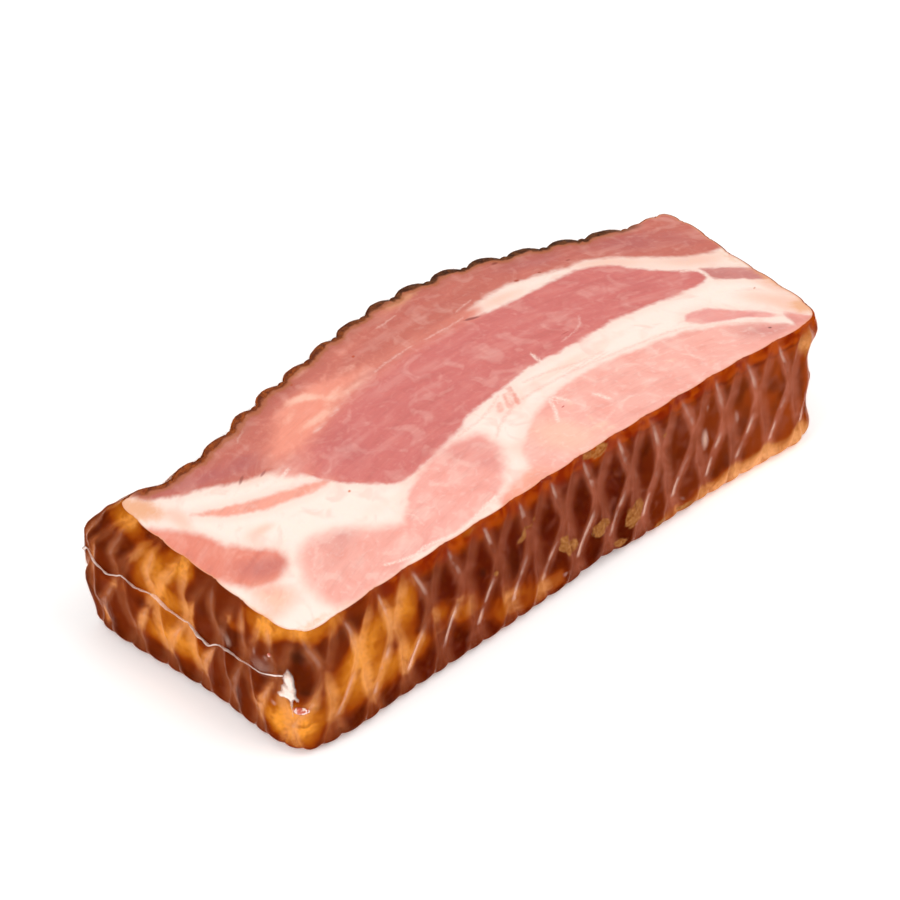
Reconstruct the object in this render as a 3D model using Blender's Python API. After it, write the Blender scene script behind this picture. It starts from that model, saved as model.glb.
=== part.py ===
"""A slab of smoked bacon, shrink-wrapped in clear film, lying with its cut face up.

The slab was smoked in a net, so its wall and underside are a lattice of flattened pillows between
strand grooves. The film clings to all of it and is one form with the meat. It closes in a welded
fin along each short end. Frame: +X along the slab, front wall towards -Y, +Z up, and the origin
in the middle of the underside. Outlines are in millimetres, measured from the front left corner.
"""

import math

import bmesh
import bpy
from mathutils import Vector

MM = 0.001

# Main sizes of the slab
HEIGHT = 48.0
BOTTOM_RADIUS = 5.5
CUT_EDGE = 0.8
CENTRE = Vector((120.0, 53.9))

# The cut face seen from above, counter-clockwise from a net knot on the front edge.
# The front edge is slightly hollow, and the long back edge is arched.
FRONT_RIGHT = [(152.5, 2.6), (190.0, 1.9), (215.0, 0.2), (229.5, 0.2)]
RIGHT_END = [(236.4, 6.5), (239.2, 24.0), (241.0, 45.0), (243.8, 62.0), (244.6, 73.0), (240.6, 80.2)]
BACK = [(232.0, 81.2), (214.0, 88.0), (189.0, 98.5), (162.0, 107.0), (134.0, 109.0), (100.0, 103.8),
        (67.0, 96.2), (42.0, 89.0), (22.0, 86.0), (9.5, 87.8)]
LEFT_END = [(4.6, 83.0), (2.6, 64.0), (2.0, 40.0), (1.0, 16.0), (3.4, 4.6)]
FRONT_LEFT = [(11.0, 0.4), (40.0, 1.5), (80.0, 1.9), (118.0, 2.8)]
OUTLINE = FRONT_RIGHT + RIGHT_END + BACK + LEFT_END + FRONT_LEFT

# The net: strands meet in knots one mesh width apart, in rows half a mesh height apart
MESH_WIDTH = 14.9
MESH_WIDTH_AT_ENDS = 12.4
MESH_HEIGHT = 39.0
FIRST_KNOTS = -2.0
NET_LEAN = -3.5
LEAN_DEPTHS = (16.0, 37.0)
KNOT_SHARE = 0.1
GROOVE = 1.5
FULL_PILLOW = 5.0
PILLOW_EDGE = 0.2

# How far each wall stands out at some depths below the cut face
FRONT_WALL = [(0.0, 0.0), (10.0, 0.8), (25.0, 2.4), (43.0, 3.4)]
RIGHT_WALL = [(0.0, 0.0), (6.0, 1.6), (15.0, -1.6), (24.0, -0.6), (33.0, -2.6), (43.0, 0.2)]
BACK_WALL = [(0.0, 0.0), (12.0, 1.4), (26.0, 2.2), (43.0, 1.6)]
LEFT_WALL = [(0.0, 0.0), (11.0, 2.0), (25.0, 2.8), (43.0, 1.2)]

# The back left corner splays out below the cut face, by so much at some depths
SHOULDER_PLACE = Vector((5.0, 86.0))
SHOULDER_REACH = 30.0
SHOULDER_WAY = Vector((-0.72, 0.69))
SHOULDER_WALL = [(0.0, 0.0), (4.0, 5.0), (11.0, 9.6), (27.0, 9.6), (43.0, 8.6)]

# The welded fins of the film, along the two short ends, and the gathered film at the front corner
FIN_DEPTH = 22.0
FIN_WAVE = 1.3
FIN_WAVELENGTH = 27.0
FIN_HALF_THICKNESS = 0.8
FIN_HEIGHT = {"left": 1.6, "right": 3.0}
TUFT_PLACE = Vector((1.2, 1.2))
TUFT_RADIUS = 5.0
TUFT_HEIGHT = 2.2

# A hollow under the front edge, where the film pulls the bottom up
HOLLOW_X = 131.0
HOLLOW_WIDTH = 9.0
HOLLOW_HEIGHT = 3.6
HOLLOW_REACH = 14.0

# The spine that the underside's rings close in on
SPINE_X = (48.0, 196.0)
SPINE_Y = 51.0
RING_SHARES = (0.26, 0.52, 0.78)
GATHER_END = 0.34

# Depths below the cut face of the wall's rings, with three rings on the fin
WALL_DEPTHS = (4.0, 8.5, 13.0, 17.8)
FIN_DEPTHS = tuple(FIN_DEPTH + k * FIN_HALF_THICKNESS for k in (-1, 0, 1))
LOWER_DEPTHS = (27.5, 32.5, 37.5)
ARC_STEPS = 4
SPLINE_STEPS = 40


def smooth_step(x, low, high):
    """0 below low, 1 above high, and a smooth rise between them."""
    t = min(max((x - low) / (high - low), 0.0), 1.0)
    return t * t * (3 - 2 * t)


def bump(distance, width):
    """A rounded hump, 1 in its middle."""
    return math.exp(-(distance / width) ** 2)


def closed_spline(points):
    """Points along a closed Catmull-Rom curve through the outline's corners."""
    corners = [Vector(p) for p in points]
    found = []
    for i in range(len(corners)):
        a, b, c, d = (corners[(i + k) % len(corners)] for k in (-1, 0, 1, 2))
        for step in range(SPLINE_STEPS):
            t = step / SPLINE_STEPS
            found.append(0.5 * (2 * b + (c - a) * t + (2 * a - 5 * b + 4 * c - d) * t ** 2
                                + (3 * b - a - 3 * c + d) * t ** 3))
    return found


def end_share(x):
    """1 on the short ends, 0 along the two long sides."""
    return max(1 - smooth_step(x, 4.0, 14.0), smooth_step(x, 230.0, 238.0))


class Outline:
    """The cut face's edge, read by how many net meshes lie before a point."""

    def __init__(self):
        self.points = closed_spline(OUTLINE)
        self.meshes = [0.0]
        for i, p in enumerate(self.points):
            step = (self.points[(i + 1) % len(self.points)] - p).length
            share = end_share(p.x)
            width = MESH_WIDTH * (1 - share) + MESH_WIDTH_AT_ENDS * share
            self.meshes.append(self.meshes[-1] + step / width)
        self.count = round(self.meshes[-1])
        stretch = self.count / self.meshes[-1]
        self.meshes = [m * stretch for m in self.meshes]

    def at(self, mesh):
        """(point, outward normal) where that many meshes lie before it."""
        mesh %= self.count
        low, high = 0, len(self.points)
        while high - low > 1:
            middle = (low + high) // 2
            low, high = (middle, high) if self.meshes[middle] <= mesh else (low, middle)
        t = (mesh - self.meshes[low]) / (self.meshes[low + 1] - self.meshes[low])
        a, b = self.points[low], self.points[(low + 1) % len(self.points)]
        before, after = self.points[low - 1], self.points[(low + 2) % len(self.points)]
        along = (b - before).lerp(after - a, t)
        return a.lerp(b, t), Vector((along.y, -along.x)).normalized()


def columns(depth):
    """(mesh position, height of the pillow from 0 to 1) of one mesh's six columns at that depth.

    Two strands part and meet again down the wall, so the columns move with them.
    """
    swing = 0.5 * (1 - math.cos(2 * math.pi * (depth - FIRST_KNOTS) / MESH_HEIGHT))
    spread = KNOT_SHARE + (1 - 2 * KNOT_SHARE) * swing
    lean = NET_LEAN / MESH_WIDTH * smooth_step(depth, *LEAN_DEPTHS)
    left, right = lean - spread / 2, lean + spread / 2
    found = []
    for start, end in ((left, right), (right, left + 1)):
        crown = min(1.0, (end - start) * MESH_WIDTH / FULL_PILLOW)
        found += [(start, 0.0), (start + PILLOW_EDGE * (end - start), crown),
                  (end - PILLOW_EDGE * (end - start), crown)]
    return found


def read_profile(profile, depth):
    """How far the wall stands out at this depth, with smooth stretches between the given ones."""
    for (above, out), (below, further_out) in zip(profile, profile[1:]):
        if depth <= below:
            return out + (further_out - out) * smooth_step(depth, above, below)
    return profile[-1][1]


def wall_at(point, normal, depth, further=0.0):
    """The way from the cut face's edge out to the wall below it, and further along the normal."""
    left = 1 - smooth_step(point.x, 5.0, 30.0)
    right = smooth_step(point.x, 222.0, 238.0)
    back = smooth_step(point.y, 20.0, 80.0)
    side = (1 - left - right) * ((1 - back) * read_profile(FRONT_WALL, depth)
                                 + back * read_profile(BACK_WALL, depth))
    ends = left * read_profile(LEFT_WALL, depth) + right * read_profile(RIGHT_WALL, depth)
    splay = bump((point - SHOULDER_PLACE).length, SHOULDER_REACH)
    shoulder = SHOULDER_WAY * splay * read_profile(SHOULDER_WALL, depth)
    return normal * (side + ends + further) + shoulder


def fin_at(point, normal, depth):
    """How far the film's fin or its gathered corner stands out of the wall here."""
    side = "left" if point.x < CENTRE.x else "right"
    facing = smooth_step(abs(normal.x), 0.55, 0.9)
    on_ridge = abs(depth - FIN_DEPTH) < 0.5 * FIN_HALF_THICKNESS
    fin = FIN_HEIGHT[side] * facing if on_ridge else 0.0
    tuft = TUFT_HEIGHT * bump((point - TUFT_PLACE).length, TUFT_RADIUS) * bump(depth - FIN_DEPTH, 3.0)
    return max(fin, tuft)


def wave(point):
    """The fin runs in a slow wave up and down the end."""
    return FIN_WAVE * math.sin(2 * math.pi * point.y / FIN_WAVELENGTH)


def place(point, outward, height):
    return Vector(((point.x + outward.x - CENTRE.x) * MM, (point.y + outward.y - CENTRE.y) * MM,
                   height * MM))


def hollow_at(point, reach):
    """How far the bottom is pulled up, in from the front edge by reach."""
    if point.y > CENTRE.y:
        return 0.0
    return HOLLOW_HEIGHT * bump(point.x - HOLLOW_X, HOLLOW_WIDTH) * bump(reach, HOLLOW_REACH)


def ring_columns(outline, depth):
    for mesh in range(outline.count):
        for position, pillow in columns(depth):
            yield *outline.at(mesh + position), pillow


def wall_ring(outline, depth, inset=0.0, on_fin=False):
    """One ring of the wall, grooved towards its inside."""
    ring = []
    for point, normal, pillow in ring_columns(outline, depth):
        further = fin_at(point, normal, depth) - GROOVE * (1 - pillow) - inset
        height = HEIGHT - depth + (wave(point) if on_fin else 0.0)
        ring.append(place(point, wall_at(point, normal, depth, further), height))
    return ring


def turn_ring(outline, angle):
    """One ring of the rounded bottom edge, with angle 0 on the wall and a quarter turn below it."""
    ring = []
    depth = HEIGHT - BOTTOM_RADIUS + angle * BOTTOM_RADIUS
    out, down = math.cos(angle), math.sin(angle)
    for point, normal, pillow in ring_columns(outline, depth):
        radius = BOTTOM_RADIUS - GROOVE * (1 - pillow)
        outward = wall_at(point, normal, depth, radius * out - BOTTOM_RADIUS)
        height = BOTTOM_RADIUS - radius * down
        ring.append(place(point, outward, height + hollow_at(point, 0.0) * down))
    return ring


def under_ring(outline, share):
    """One ring of the underside, that share of the way in to the spine."""
    ring = []
    start = HEIGHT - BOTTOM_RADIUS + math.pi / 2 * BOTTOM_RADIUS
    depth = start + share * (SPINE_Y - BOTTOM_RADIUS)
    for point, normal, pillow in ring_columns(outline, depth):
        edge = point + wall_at(point, normal, depth, -BOTTOM_RADIUS)
        spine = Vector((min(max(edge.x, SPINE_X[0]), SPINE_X[1]), SPINE_Y))
        inner = edge.lerp(spine, share)
        gathered = smooth_step(abs(edge.x - spine.x), 0.0, 14.0)
        groove = GROOVE * (1 - gathered * smooth_step(share, 0.0, GATHER_END))
        height = groove * (1 - pillow) + hollow_at(point, (inner - edge).length)
        ring.append(place(inner, Vector((0.0, 0.0)), height))
    return ring


def core_ring(outline):
    """The flat middle of the underside, on which the slab rests."""
    ring = under_ring(outline, 0.9)
    for corner in ring:
        corner.z = 0.0
    return ring


def slab_mesh(outline):
    rings = [wall_ring(outline, 0.0, inset=CUT_EDGE), wall_ring(outline, CUT_EDGE)]
    rings += [wall_ring(outline, depth) for depth in WALL_DEPTHS]
    rings += [wall_ring(outline, depth, on_fin=True) for depth in FIN_DEPTHS]
    rings += [wall_ring(outline, depth) for depth in LOWER_DEPTHS]
    rings += [turn_ring(outline, math.pi / 2 * k / ARC_STEPS) for k in range(ARC_STEPS + 1)]
    rings += [under_ring(outline, share) for share in RING_SHARES]
    rings.append(core_ring(outline))
    mesh = bmesh.new()
    rows = [[mesh.verts.new(corner) for corner in ring] for ring in rings]
    for upper, lower in zip(rows, rows[1:]):
        for i in range(len(upper)):
            j = (i + 1) % len(upper)
            face = mesh.faces.new((upper[i], lower[i], lower[j], upper[j]))
            face.material_index = 1
    mesh.faces.new(rows[0])
    underside = mesh.faces.new(list(reversed(rows[-1])))
    underside.material_index = 1
    return mesh


def finish(name, colour, roughness):
    material = bpy.data.materials.new(name)
    material.use_nodes = True
    shader = material.node_tree.nodes["Principled BSDF"]
    shader.inputs["Base Color"].default_value = (*colour, 1.0)
    shader.inputs["Roughness"].default_value = roughness
    shader.inputs["Metallic"].default_value = 0.0
    return material


def build():
    for obj in list(bpy.data.objects):
        bpy.data.objects.remove(obj)
    mesh = slab_mesh(Outline())
    data = bpy.data.meshes.new("bacon_pack")
    mesh.to_mesh(data)
    mesh.free()
    data.materials.append(finish("cut_meat_under_film", (0.78, 0.36, 0.33), 0.3))
    data.materials.append(finish("smoked_rind_under_film", (0.19, 0.035, 0.008), 0.25))
    pack = bpy.data.objects.new("bacon_pack", data)
    bpy.context.scene.collection.objects.link(pack)


build()
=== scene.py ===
import math

import bpy
import numpy as np
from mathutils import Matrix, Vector, geometry, noise


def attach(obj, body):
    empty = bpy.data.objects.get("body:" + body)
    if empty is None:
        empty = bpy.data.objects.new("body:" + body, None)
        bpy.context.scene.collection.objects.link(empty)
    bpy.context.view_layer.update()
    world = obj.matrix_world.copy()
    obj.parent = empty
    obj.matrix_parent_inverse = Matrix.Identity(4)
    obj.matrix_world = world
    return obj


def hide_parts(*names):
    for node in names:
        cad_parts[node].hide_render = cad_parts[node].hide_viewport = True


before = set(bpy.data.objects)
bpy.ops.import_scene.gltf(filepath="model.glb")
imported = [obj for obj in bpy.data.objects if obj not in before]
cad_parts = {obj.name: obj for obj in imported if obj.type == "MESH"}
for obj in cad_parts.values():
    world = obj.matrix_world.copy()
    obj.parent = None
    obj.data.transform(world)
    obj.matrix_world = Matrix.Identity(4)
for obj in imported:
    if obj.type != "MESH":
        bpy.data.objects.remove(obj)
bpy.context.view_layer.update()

# The studio: a white table that is lit a little from below, so that shadows stay pale, a large soft
# lamp in front, weaker ones above and to the left, and an even white room. The camera stands in
# front and to the left, looking down through a long lens.
CAMERA_AZIMUTH = math.radians(-44.44)
CAMERA_ELEVATION = math.radians(37.82)
CAMERA_DISTANCE = 1.0722
CAMERA_TARGET = Vector((0.018, 0.0227, 0.002))
LENS_MM = 128.0


def linear(code):
    """A colour written as sRGB hex, as the linear RGBA that a shader takes."""
    levels = [int(code[i:i + 2], 16) / 255 for i in (1, 3, 5)]
    return (*[c / 12.92 if c <= 0.04045 else ((c + 0.055) / 1.055) ** 2.4 for c in levels], 1.0)


def add(tree, kind, inputs=(), **settings):
    """Adds a node with its settings. Inputs are named or numbered, and hold a value or a socket."""
    node = tree.nodes.new("ShaderNode" + kind)
    for name, value in settings.items():
        setattr(node, name, value)
    for name, value in dict(inputs).items():
        if isinstance(value, bpy.types.NodeSocket):
            tree.links.new(value, node.inputs[name])
        else:
            node.inputs[name].default_value = value
    return node


def empty_material(name):
    material = bpy.data.materials.new(name)
    material.use_nodes = True
    material.node_tree.nodes.clear()
    return material


lens = bpy.data.cameras.new("camera")
lens.lens = LENS_MM
lens.sensor_width = 36.0
lens.clip_end = 10.0
camera = bpy.data.objects.new("camera", lens)
back = Vector((math.sin(CAMERA_AZIMUTH) * math.cos(CAMERA_ELEVATION),
               -math.cos(CAMERA_AZIMUTH) * math.cos(CAMERA_ELEVATION),
               math.sin(CAMERA_ELEVATION)))
camera.location = CAMERA_TARGET + back * CAMERA_DISTANCE
camera.rotation_euler = back.to_track_quat("Z", "Y").to_euler()
bpy.context.scene.collection.objects.link(camera)
bpy.context.scene.camera = camera
bpy.context.scene.view_settings.view_transform = "Standard"

TABLE_REACH = 3.0
TABLE_GLOW = 0.26
ROOM_LIGHT = 0.5
table_corners = [(x * TABLE_REACH, y * TABLE_REACH, 0.0) for x, y in ((-1, -1), (1, -1), (1, 1), (-1, 1))]
table_data = bpy.data.meshes.new("studio_table")
table_data.from_pydata(table_corners, [], [(0, 1, 2, 3)])
table = bpy.data.objects.new("studio_table", table_data)
bpy.context.scene.collection.objects.link(table)
table_finish = empty_material("matt_white_board")
tree = table_finish.node_tree
board = add(tree, "BsdfPrincipled", {"Base Color": linear("#FEFDFD"), "Roughness": 0.9,
                                     "Specular IOR Level": 0.1, "Emission Color": linear("#FFFFFF"),
                                     "Emission Strength": TABLE_GLOW})
add(tree, "OutputMaterial", {"Surface": board.outputs[0]})
table_data.materials.append(table_finish)

world = bpy.data.worlds.new("white_room")
world.use_nodes = True
room = world.node_tree.nodes["Background"]
room.inputs["Color"].default_value = linear("#FFFEFC")
room.inputs["Strength"].default_value = ROOM_LIGHT
bpy.context.scene.world = world
LAMPS = {
    "lamp_front": {"place": (0.4, -0.75, 1.1), "size": 1.0, "watts": 8.4},
    "lamp_above": {"place": (-0.2, 0.3, 1.3), "size": 1.2, "watts": 3.0},
    "lamp_left": {"place": (-1.0, -0.1, 0.6), "size": 0.5, "watts": 3.6},
}
for name, lamp in LAMPS.items():
    light = bpy.data.lights.new(name, "AREA")
    light.size = lamp["size"]
    light.energy = lamp["watts"]
    light.color = linear("#FFFCFA")[:3]
    stand = bpy.data.objects.new(name, light)
    stand.location = lamp["place"]
    stand.rotation_euler = Vector(lamp["place"]).to_track_quat("Z", "Y").to_euler()
    bpy.context.scene.collection.objects.link(stand)

# The bacon: one slab cut from a whole smoked back, with its cut face up. It was smoked in a net,
# which pressed the wall and the underside into pillows between strand grooves.
# Places are in millimetres from the front left corner of the cut face, as on the solid.
MM = 0.001
CENTRE = np.array((120.0, 53.9))
HEIGHT = 48.0
BOTTOM_RADIUS = 5.5
CUT_EDGE = 0.8
FRONT_RIGHT = [(152.5, 2.6), (190.0, 1.9), (215.0, 0.2), (229.5, 0.2)]
RIGHT_END = [(236.4, 6.5), (239.2, 24.0), (241.0, 45.0), (243.8, 62.0), (244.6, 73.0), (240.6, 80.2)]
BACK = [(232.0, 81.2), (214.0, 88.0), (189.0, 98.5), (162.0, 107.0), (134.0, 109.0), (100.0, 103.8),
        (67.0, 96.2), (42.0, 89.0), (22.0, 86.0), (9.5, 87.8)]
LEFT_END = [(4.6, 83.0), (2.6, 64.0), (2.0, 40.0), (1.0, 16.0), (3.4, 4.6)]
FRONT_LEFT = [(11.0, 0.4), (40.0, 1.5), (80.0, 1.9), (118.0, 2.8)]
OUTLINE = FRONT_RIGHT + RIGHT_END + BACK + LEFT_END + FRONT_LEFT
MESH_WIDTH = 14.9
MESH_WIDTH_AT_ENDS = 12.4
MESH_HEIGHT = 39.0
FIRST_KNOTS = -2.0
NET_LEAN = -3.5
LEAN_DEPTHS = (16.0, 37.0)
KNOT_SHARE = 0.09
STRAIGHTNESS = 0.65
GROOVE = 1.25
CALM_BELOW = 0.5
FULL_PILLOW = 5.0
FRONT_WALL = [(0.0, 0.0), (10.0, 0.8), (25.0, 2.4), (43.0, 3.4)]
RIGHT_WALL = [(0.0, 0.0), (6.0, 1.6), (15.0, -1.6), (24.0, -0.6), (33.0, -2.6), (43.0, 0.2)]
BACK_WALL = [(0.0, 0.0), (12.0, 1.4), (26.0, 2.2), (43.0, 1.6)]
LEFT_WALL = [(0.0, 0.0), (11.0, 2.0), (25.0, 2.8), (43.0, 1.2)]
SHOULDER_PLACE = np.array((5.0, 86.0))
SHOULDER_REACH = 30.0
SHOULDER_WAY = np.array((-0.72, 0.69))
SHOULDER_WALL = [(0.0, 0.0), (4.0, 5.0), (11.0, 9.6), (27.0, 9.6), (43.0, 8.6)]
HOLLOW_X = 131.0
HOLLOW_WIDTH = 9.0
HOLLOW_HEIGHT = 3.6
HOLLOW_REACH = 14.0
SPINE_X = (48.0, 196.0)
SPINE_Y = 51.0
CORE_SHARE = 0.9
BACK_SCALLOPS = 1.0
FRONT_CALM = 0.55
CRUST_RELIEF = 0.35
CRUST_LUMP = 3.2
NUB_PLACE = np.array((232.0, 81.2))
NUB_STEP = 1.4
NUB_WIDTH = 2.6
BOTTOM_ROWS = 8
SWELL = 0.35
SWELL_WIDTH = 24.0
RIPPLE = 0.12
RIPPLE_WIDTH = 7.0
CLEAR_OF_BORDER = 0.6


def smooth(x, low, high):
    """0 below low, 1 above high, and a smooth rise between them."""
    t = np.clip((np.asarray(x, float) - low) / (high - low), 0.0, 1.0)
    return t * t * (3 - 2 * t)


def bump_of(distance, width):
    return np.exp(-(np.asarray(distance) / width) ** 2)


def lumps(points, size, seed):
    """Smooth noise from about -1 to 1 at points in millimetres, with lumps of that size."""
    shift = Vector((17.3, 5.7, 11.1)) * seed
    return np.array([noise.noise(Vector(p) / size + shift) for p in points])


def closed_curve(corners, steps):
    """Points along a closed Catmull-Rom curve through the corners."""
    b = np.array(corners)
    a, c, d = np.roll(b, 1, axis=0), np.roll(b, -1, axis=0), np.roll(b, -2, axis=0)
    t = (np.arange(steps) / steps)[None, :, None]
    a, b, c, d = (corner[:, None, :] for corner in (a, b, c, d))
    curve = 0.5 * (2 * b + (c - a) * t + (2 * a - 5 * b + 4 * c - d) * t ** 2
                   + (3 * b - a - 3 * c + d) * t ** 3)
    return curve.reshape(-1, 2)


edge_points = closed_curve(OUTLINE, 40)
edge_steps = np.roll(edge_points, -1, axis=0) - edge_points
at_ends = np.maximum(1 - smooth(edge_points[:, 0], 4.0, 14.0), smooth(edge_points[:, 0], 230.0, 238.0))
mesh_widths = MESH_WIDTH * (1 - at_ends) + MESH_WIDTH_AT_ENDS * at_ends
edge_meshes = np.cumsum(np.hypot(*edge_steps.T) / mesh_widths)
MESHES = round(edge_meshes[-1])
edge_meshes = np.concatenate([[0.0], edge_meshes * MESHES / edge_meshes[-1]])
edge_closed = np.vstack([edge_points, edge_points[:1]])
tangents = np.roll(edge_points, -1, axis=0) - np.roll(edge_points, 1, axis=0)
tangents = np.vstack([tangents, tangents[:1]])


def edge_at(mesh):
    """(point, outward normal) of the cut face's edge where so many net meshes lie before it."""
    mesh = np.mod(mesh, MESHES)
    point = np.stack([np.interp(mesh, edge_meshes, edge_closed[:, k]) for k in (0, 1)], axis=-1)
    along = np.stack([np.interp(mesh, edge_meshes, tangents[:, k]) for k in (0, 1)], axis=-1)
    along /= np.linalg.norm(along, axis=-1, keepdims=True)
    return point, np.stack([along[:, 1], -along[:, 0]], axis=-1)


def read_profile(profile, depth):
    """How far a wall stands out at this depth below the cut face."""
    for (above, out), (below, further_out) in zip(profile, profile[1:]):
        if depth <= below:
            return out + (further_out - out) * float(smooth(depth, above, below))
    return profile[-1][1]


def wall_at(point, normal, depth, further):
    """The way from the cut face's edge out to the wall below it, and further along the normal."""
    left = 1 - smooth(point[:, 0], 5.0, 30.0)
    right = smooth(point[:, 0], 222.0, 238.0)
    behind = smooth(point[:, 1], 20.0, 80.0)
    side = (1 - left - right) * ((1 - behind) * read_profile(FRONT_WALL, depth)
                                 + behind * read_profile(BACK_WALL, depth))
    ends = left * read_profile(LEFT_WALL, depth) + right * read_profile(RIGHT_WALL, depth)
    splay = bump_of(np.linalg.norm(point - SHOULDER_PLACE, axis=1), SHOULDER_REACH)
    shoulder = SHOULDER_WAY * (splay * read_profile(SHOULDER_WALL, depth))[:, None]
    return normal * (side + ends + further)[:, None] + shoulder


def strand_spread(depth):
    """How far a mesh's two strands stand apart, as a share of it: straight, and rounded at the knots."""
    wave = math.cos(2 * math.pi * (depth - FIRST_KNOTS) / MESH_HEIGHT)
    parted = STRAIGHTNESS * math.acos(wave) / math.pi + (1 - STRAIGHTNESS) * 0.5 * (1 - wave)
    return KNOT_SHARE + (1 - 2 * KNOT_SHARE) * parted


class NetRow:
    """The columns of one row round the slab, which move with the strands as they part and meet.

    It holds, for each column, its place in meshes, its share of the way across its pillow, the
    pillow's width, its distance from the nearer strand, and whether that strand leans to the
    right on its way down, which is the side that shines.
    """

    def __init__(self, depth, per_pillow):
        spread = strand_spread(depth)
        slope = (strand_spread(depth + 0.5) - strand_spread(depth - 0.5)) * 0.5 * MESH_WIDTH
        lean = NET_LEAN / MESH_WIDTH * float(smooth(depth, *LEAN_DEPTHS))
        even = np.arange(per_pillow) / per_pillow
        across = 0.4 * even + 0.6 * 0.5 * (1 - np.cos(math.pi * even))
        left, right = lean - spread / 2, lean + spread / 2
        place = np.concatenate([left + across * (right - left), right + across * (left + 1 - right)])
        width = np.repeat([right - left, left + 1 - right], per_pillow) * MESH_WIDTH
        across = np.concatenate([across, across])
        shines = np.concatenate([across[:per_pillow] > 0.5, across[per_pillow:] <= 0.5])
        self.mesh = (np.arange(MESHES)[:, None] + place[None, :]).ravel()
        self.across = np.tile(across, MESHES)
        self.width = np.tile(width, MESHES)
        self.shines = np.tile(shines, MESHES).astype(float)
        self.strand = np.minimum(self.across, 1 - self.across) * self.width / math.hypot(1, slope)
        # The net was never quite regular: its strands drift a little, the same at every seam
        angle = 2 * math.pi * self.mesh / MESHES
        ring = np.stack([30 * np.cos(angle), 30 * np.sin(angle), np.full(len(angle), depth / 3.2)], axis=1)
        self.drift = 0.1 * lumps(ring, 4.0, 1)
        self.fullness = 1 + 0.3 * lumps(ring, 5.0, 2)
        self.mesh = self.mesh + self.drift

    def rise(self, sharpness):
        """Height over the groove's floor, as a share of the full groove."""
        crown = np.minimum(1.0, self.width / FULL_PILLOW) ** 2
        return crown * (1 - np.abs(2 * self.across - 1) ** sharpness) * self.fullness


def hollow_at(point, reach):
    """How far the bottom is pulled up, in from the front edge by reach."""
    front = point[:, 1] < CENTRE[1]
    along = bump_of(point[:, 0] - HOLLOW_X, HOLLOW_WIDTH)
    return front * HOLLOW_HEIGHT * along * bump_of(reach, HOLLOW_REACH)


def slab_rings(per_pillow, depths, under_shares, groove, sharpness, proud):
    """Rings of points from the cut edge down the wall and in below, and what each point knows."""
    rings, facts = [], []

    def keep(row, plan, height, depth):
        rings.append(np.column_stack([plan, height]))
        facts.append({"strand": row.strand, "shines": row.shines, "depth": np.full(len(plan), depth)})

    for depth in depths:
        row = NetRow(depth, per_pillow)
        point, normal = edge_at(row.mesh)
        rounding = CUT_EDGE - math.sqrt(max(0.0, CUT_EDGE ** 2 - max(0.0, CUT_EDGE - depth) ** 2))
        behind = smooth(point[:, 1], 60.0, 84.0) * smooth(point[:, 0], 6.0, 18.0)
        near_cut = 1 - float(smooth(depth, 0.0, 7.0))
        share = 1 + near_cut * (BACK_SCALLOPS * behind - FRONT_CALM * (1 - behind))
        at_depth = np.column_stack([point, np.full(len(point), depth)])
        crust = near_cut * behind * CRUST_RELIEF * lumps(at_depth, CRUST_LUMP, 7)
        nub = near_cut * NUB_STEP * bump_of(np.linalg.norm(point - NUB_PLACE, axis=1), NUB_WIDTH)
        further = proud - rounding - groove * share * (1 - row.rise(sharpness)) + crust - nub
        plan = point + wall_at(point, normal, depth, further)
        keep(row, plan, np.full(len(plan), HEIGHT - depth + proud * (depth == 0.0)), depth)
    for angle in np.linspace(0.0, math.pi / 2, BOTTOM_ROWS):
        depth = HEIGHT - BOTTOM_RADIUS + angle * BOTTOM_RADIUS
        row = NetRow(depth, per_pillow)
        point, normal = edge_at(row.mesh)
        calm = 1 - CALM_BELOW * math.sin(2 * angle)
        radius = BOTTOM_RADIUS - groove * calm * (1 - row.rise(sharpness)) + proud
        outward = wall_at(point, normal, depth, radius * math.cos(angle) - BOTTOM_RADIUS)
        height = BOTTOM_RADIUS - radius * math.sin(angle) + hollow_at(point, 0.0) * math.sin(angle)
        keep(row, point + outward, height, depth)
    for share in under_shares:
        depth = HEIGHT - BOTTOM_RADIUS + math.pi / 2 * BOTTOM_RADIUS + share * (SPINE_Y - BOTTOM_RADIUS)
        row = NetRow(depth, per_pillow)
        point, normal = edge_at(row.mesh)
        edge = point + wall_at(point, normal, depth, np.full(len(point), -BOTTOM_RADIUS))
        spine = np.column_stack([np.clip(edge[:, 0], *SPINE_X), np.full(len(edge), SPINE_Y)])
        inner = edge + (spine - edge) * share
        gathered = smooth(np.abs(edge[:, 0] - spine[:, 0]), 0.0, 14.0)
        depth_left = groove * (1 - gathered * float(smooth(share, 0.0, 0.34))) * (share < CORE_SHARE)
        height = depth_left * (1 - row.rise(sharpness)) - proud
        height = height + hollow_at(point, np.linalg.norm(inner - edge, axis=1)) * (share < CORE_SHARE)
        keep(row, inner, height, depth)
    return rings, facts


def inside_by(points, outline):
    """How far each point lies inside a closed outline, in millimetres, and below 0 outside it."""
    nearest = np.full(len(points), np.inf)
    inside = np.zeros(len(points), bool)
    for start, end in zip(outline, np.roll(outline, -1, axis=0)):
        way = end - start
        share = np.clip((points - start) @ way / (way @ way), 0.0, 1.0)
        nearest = np.minimum(nearest, np.hypot(*(points - start - share[:, None] * way).T))
        if start[1] != end[1]:
            crossing = start[0] + (points[:, 1] - start[1]) * way[0] / way[1]
            inside ^= ((start[1] > points[:, 1]) != (end[1] > points[:, 1])) & (points[:, 0] < crossing)
    return np.where(inside, nearest, -nearest)


def cut_height(points, inside):
    """The cut is not quite flat: muscle and fat spring back by different amounts."""
    flat = np.column_stack([points, np.zeros(len(points))])
    swell = SWELL * lumps(flat, SWELL_WIDTH, 3) + RIPPLE * lumps(flat, RIPPLE_WIDTH, 4)
    return HEIGHT + swell * smooth(inside, 0.0, 6.0)


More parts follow.
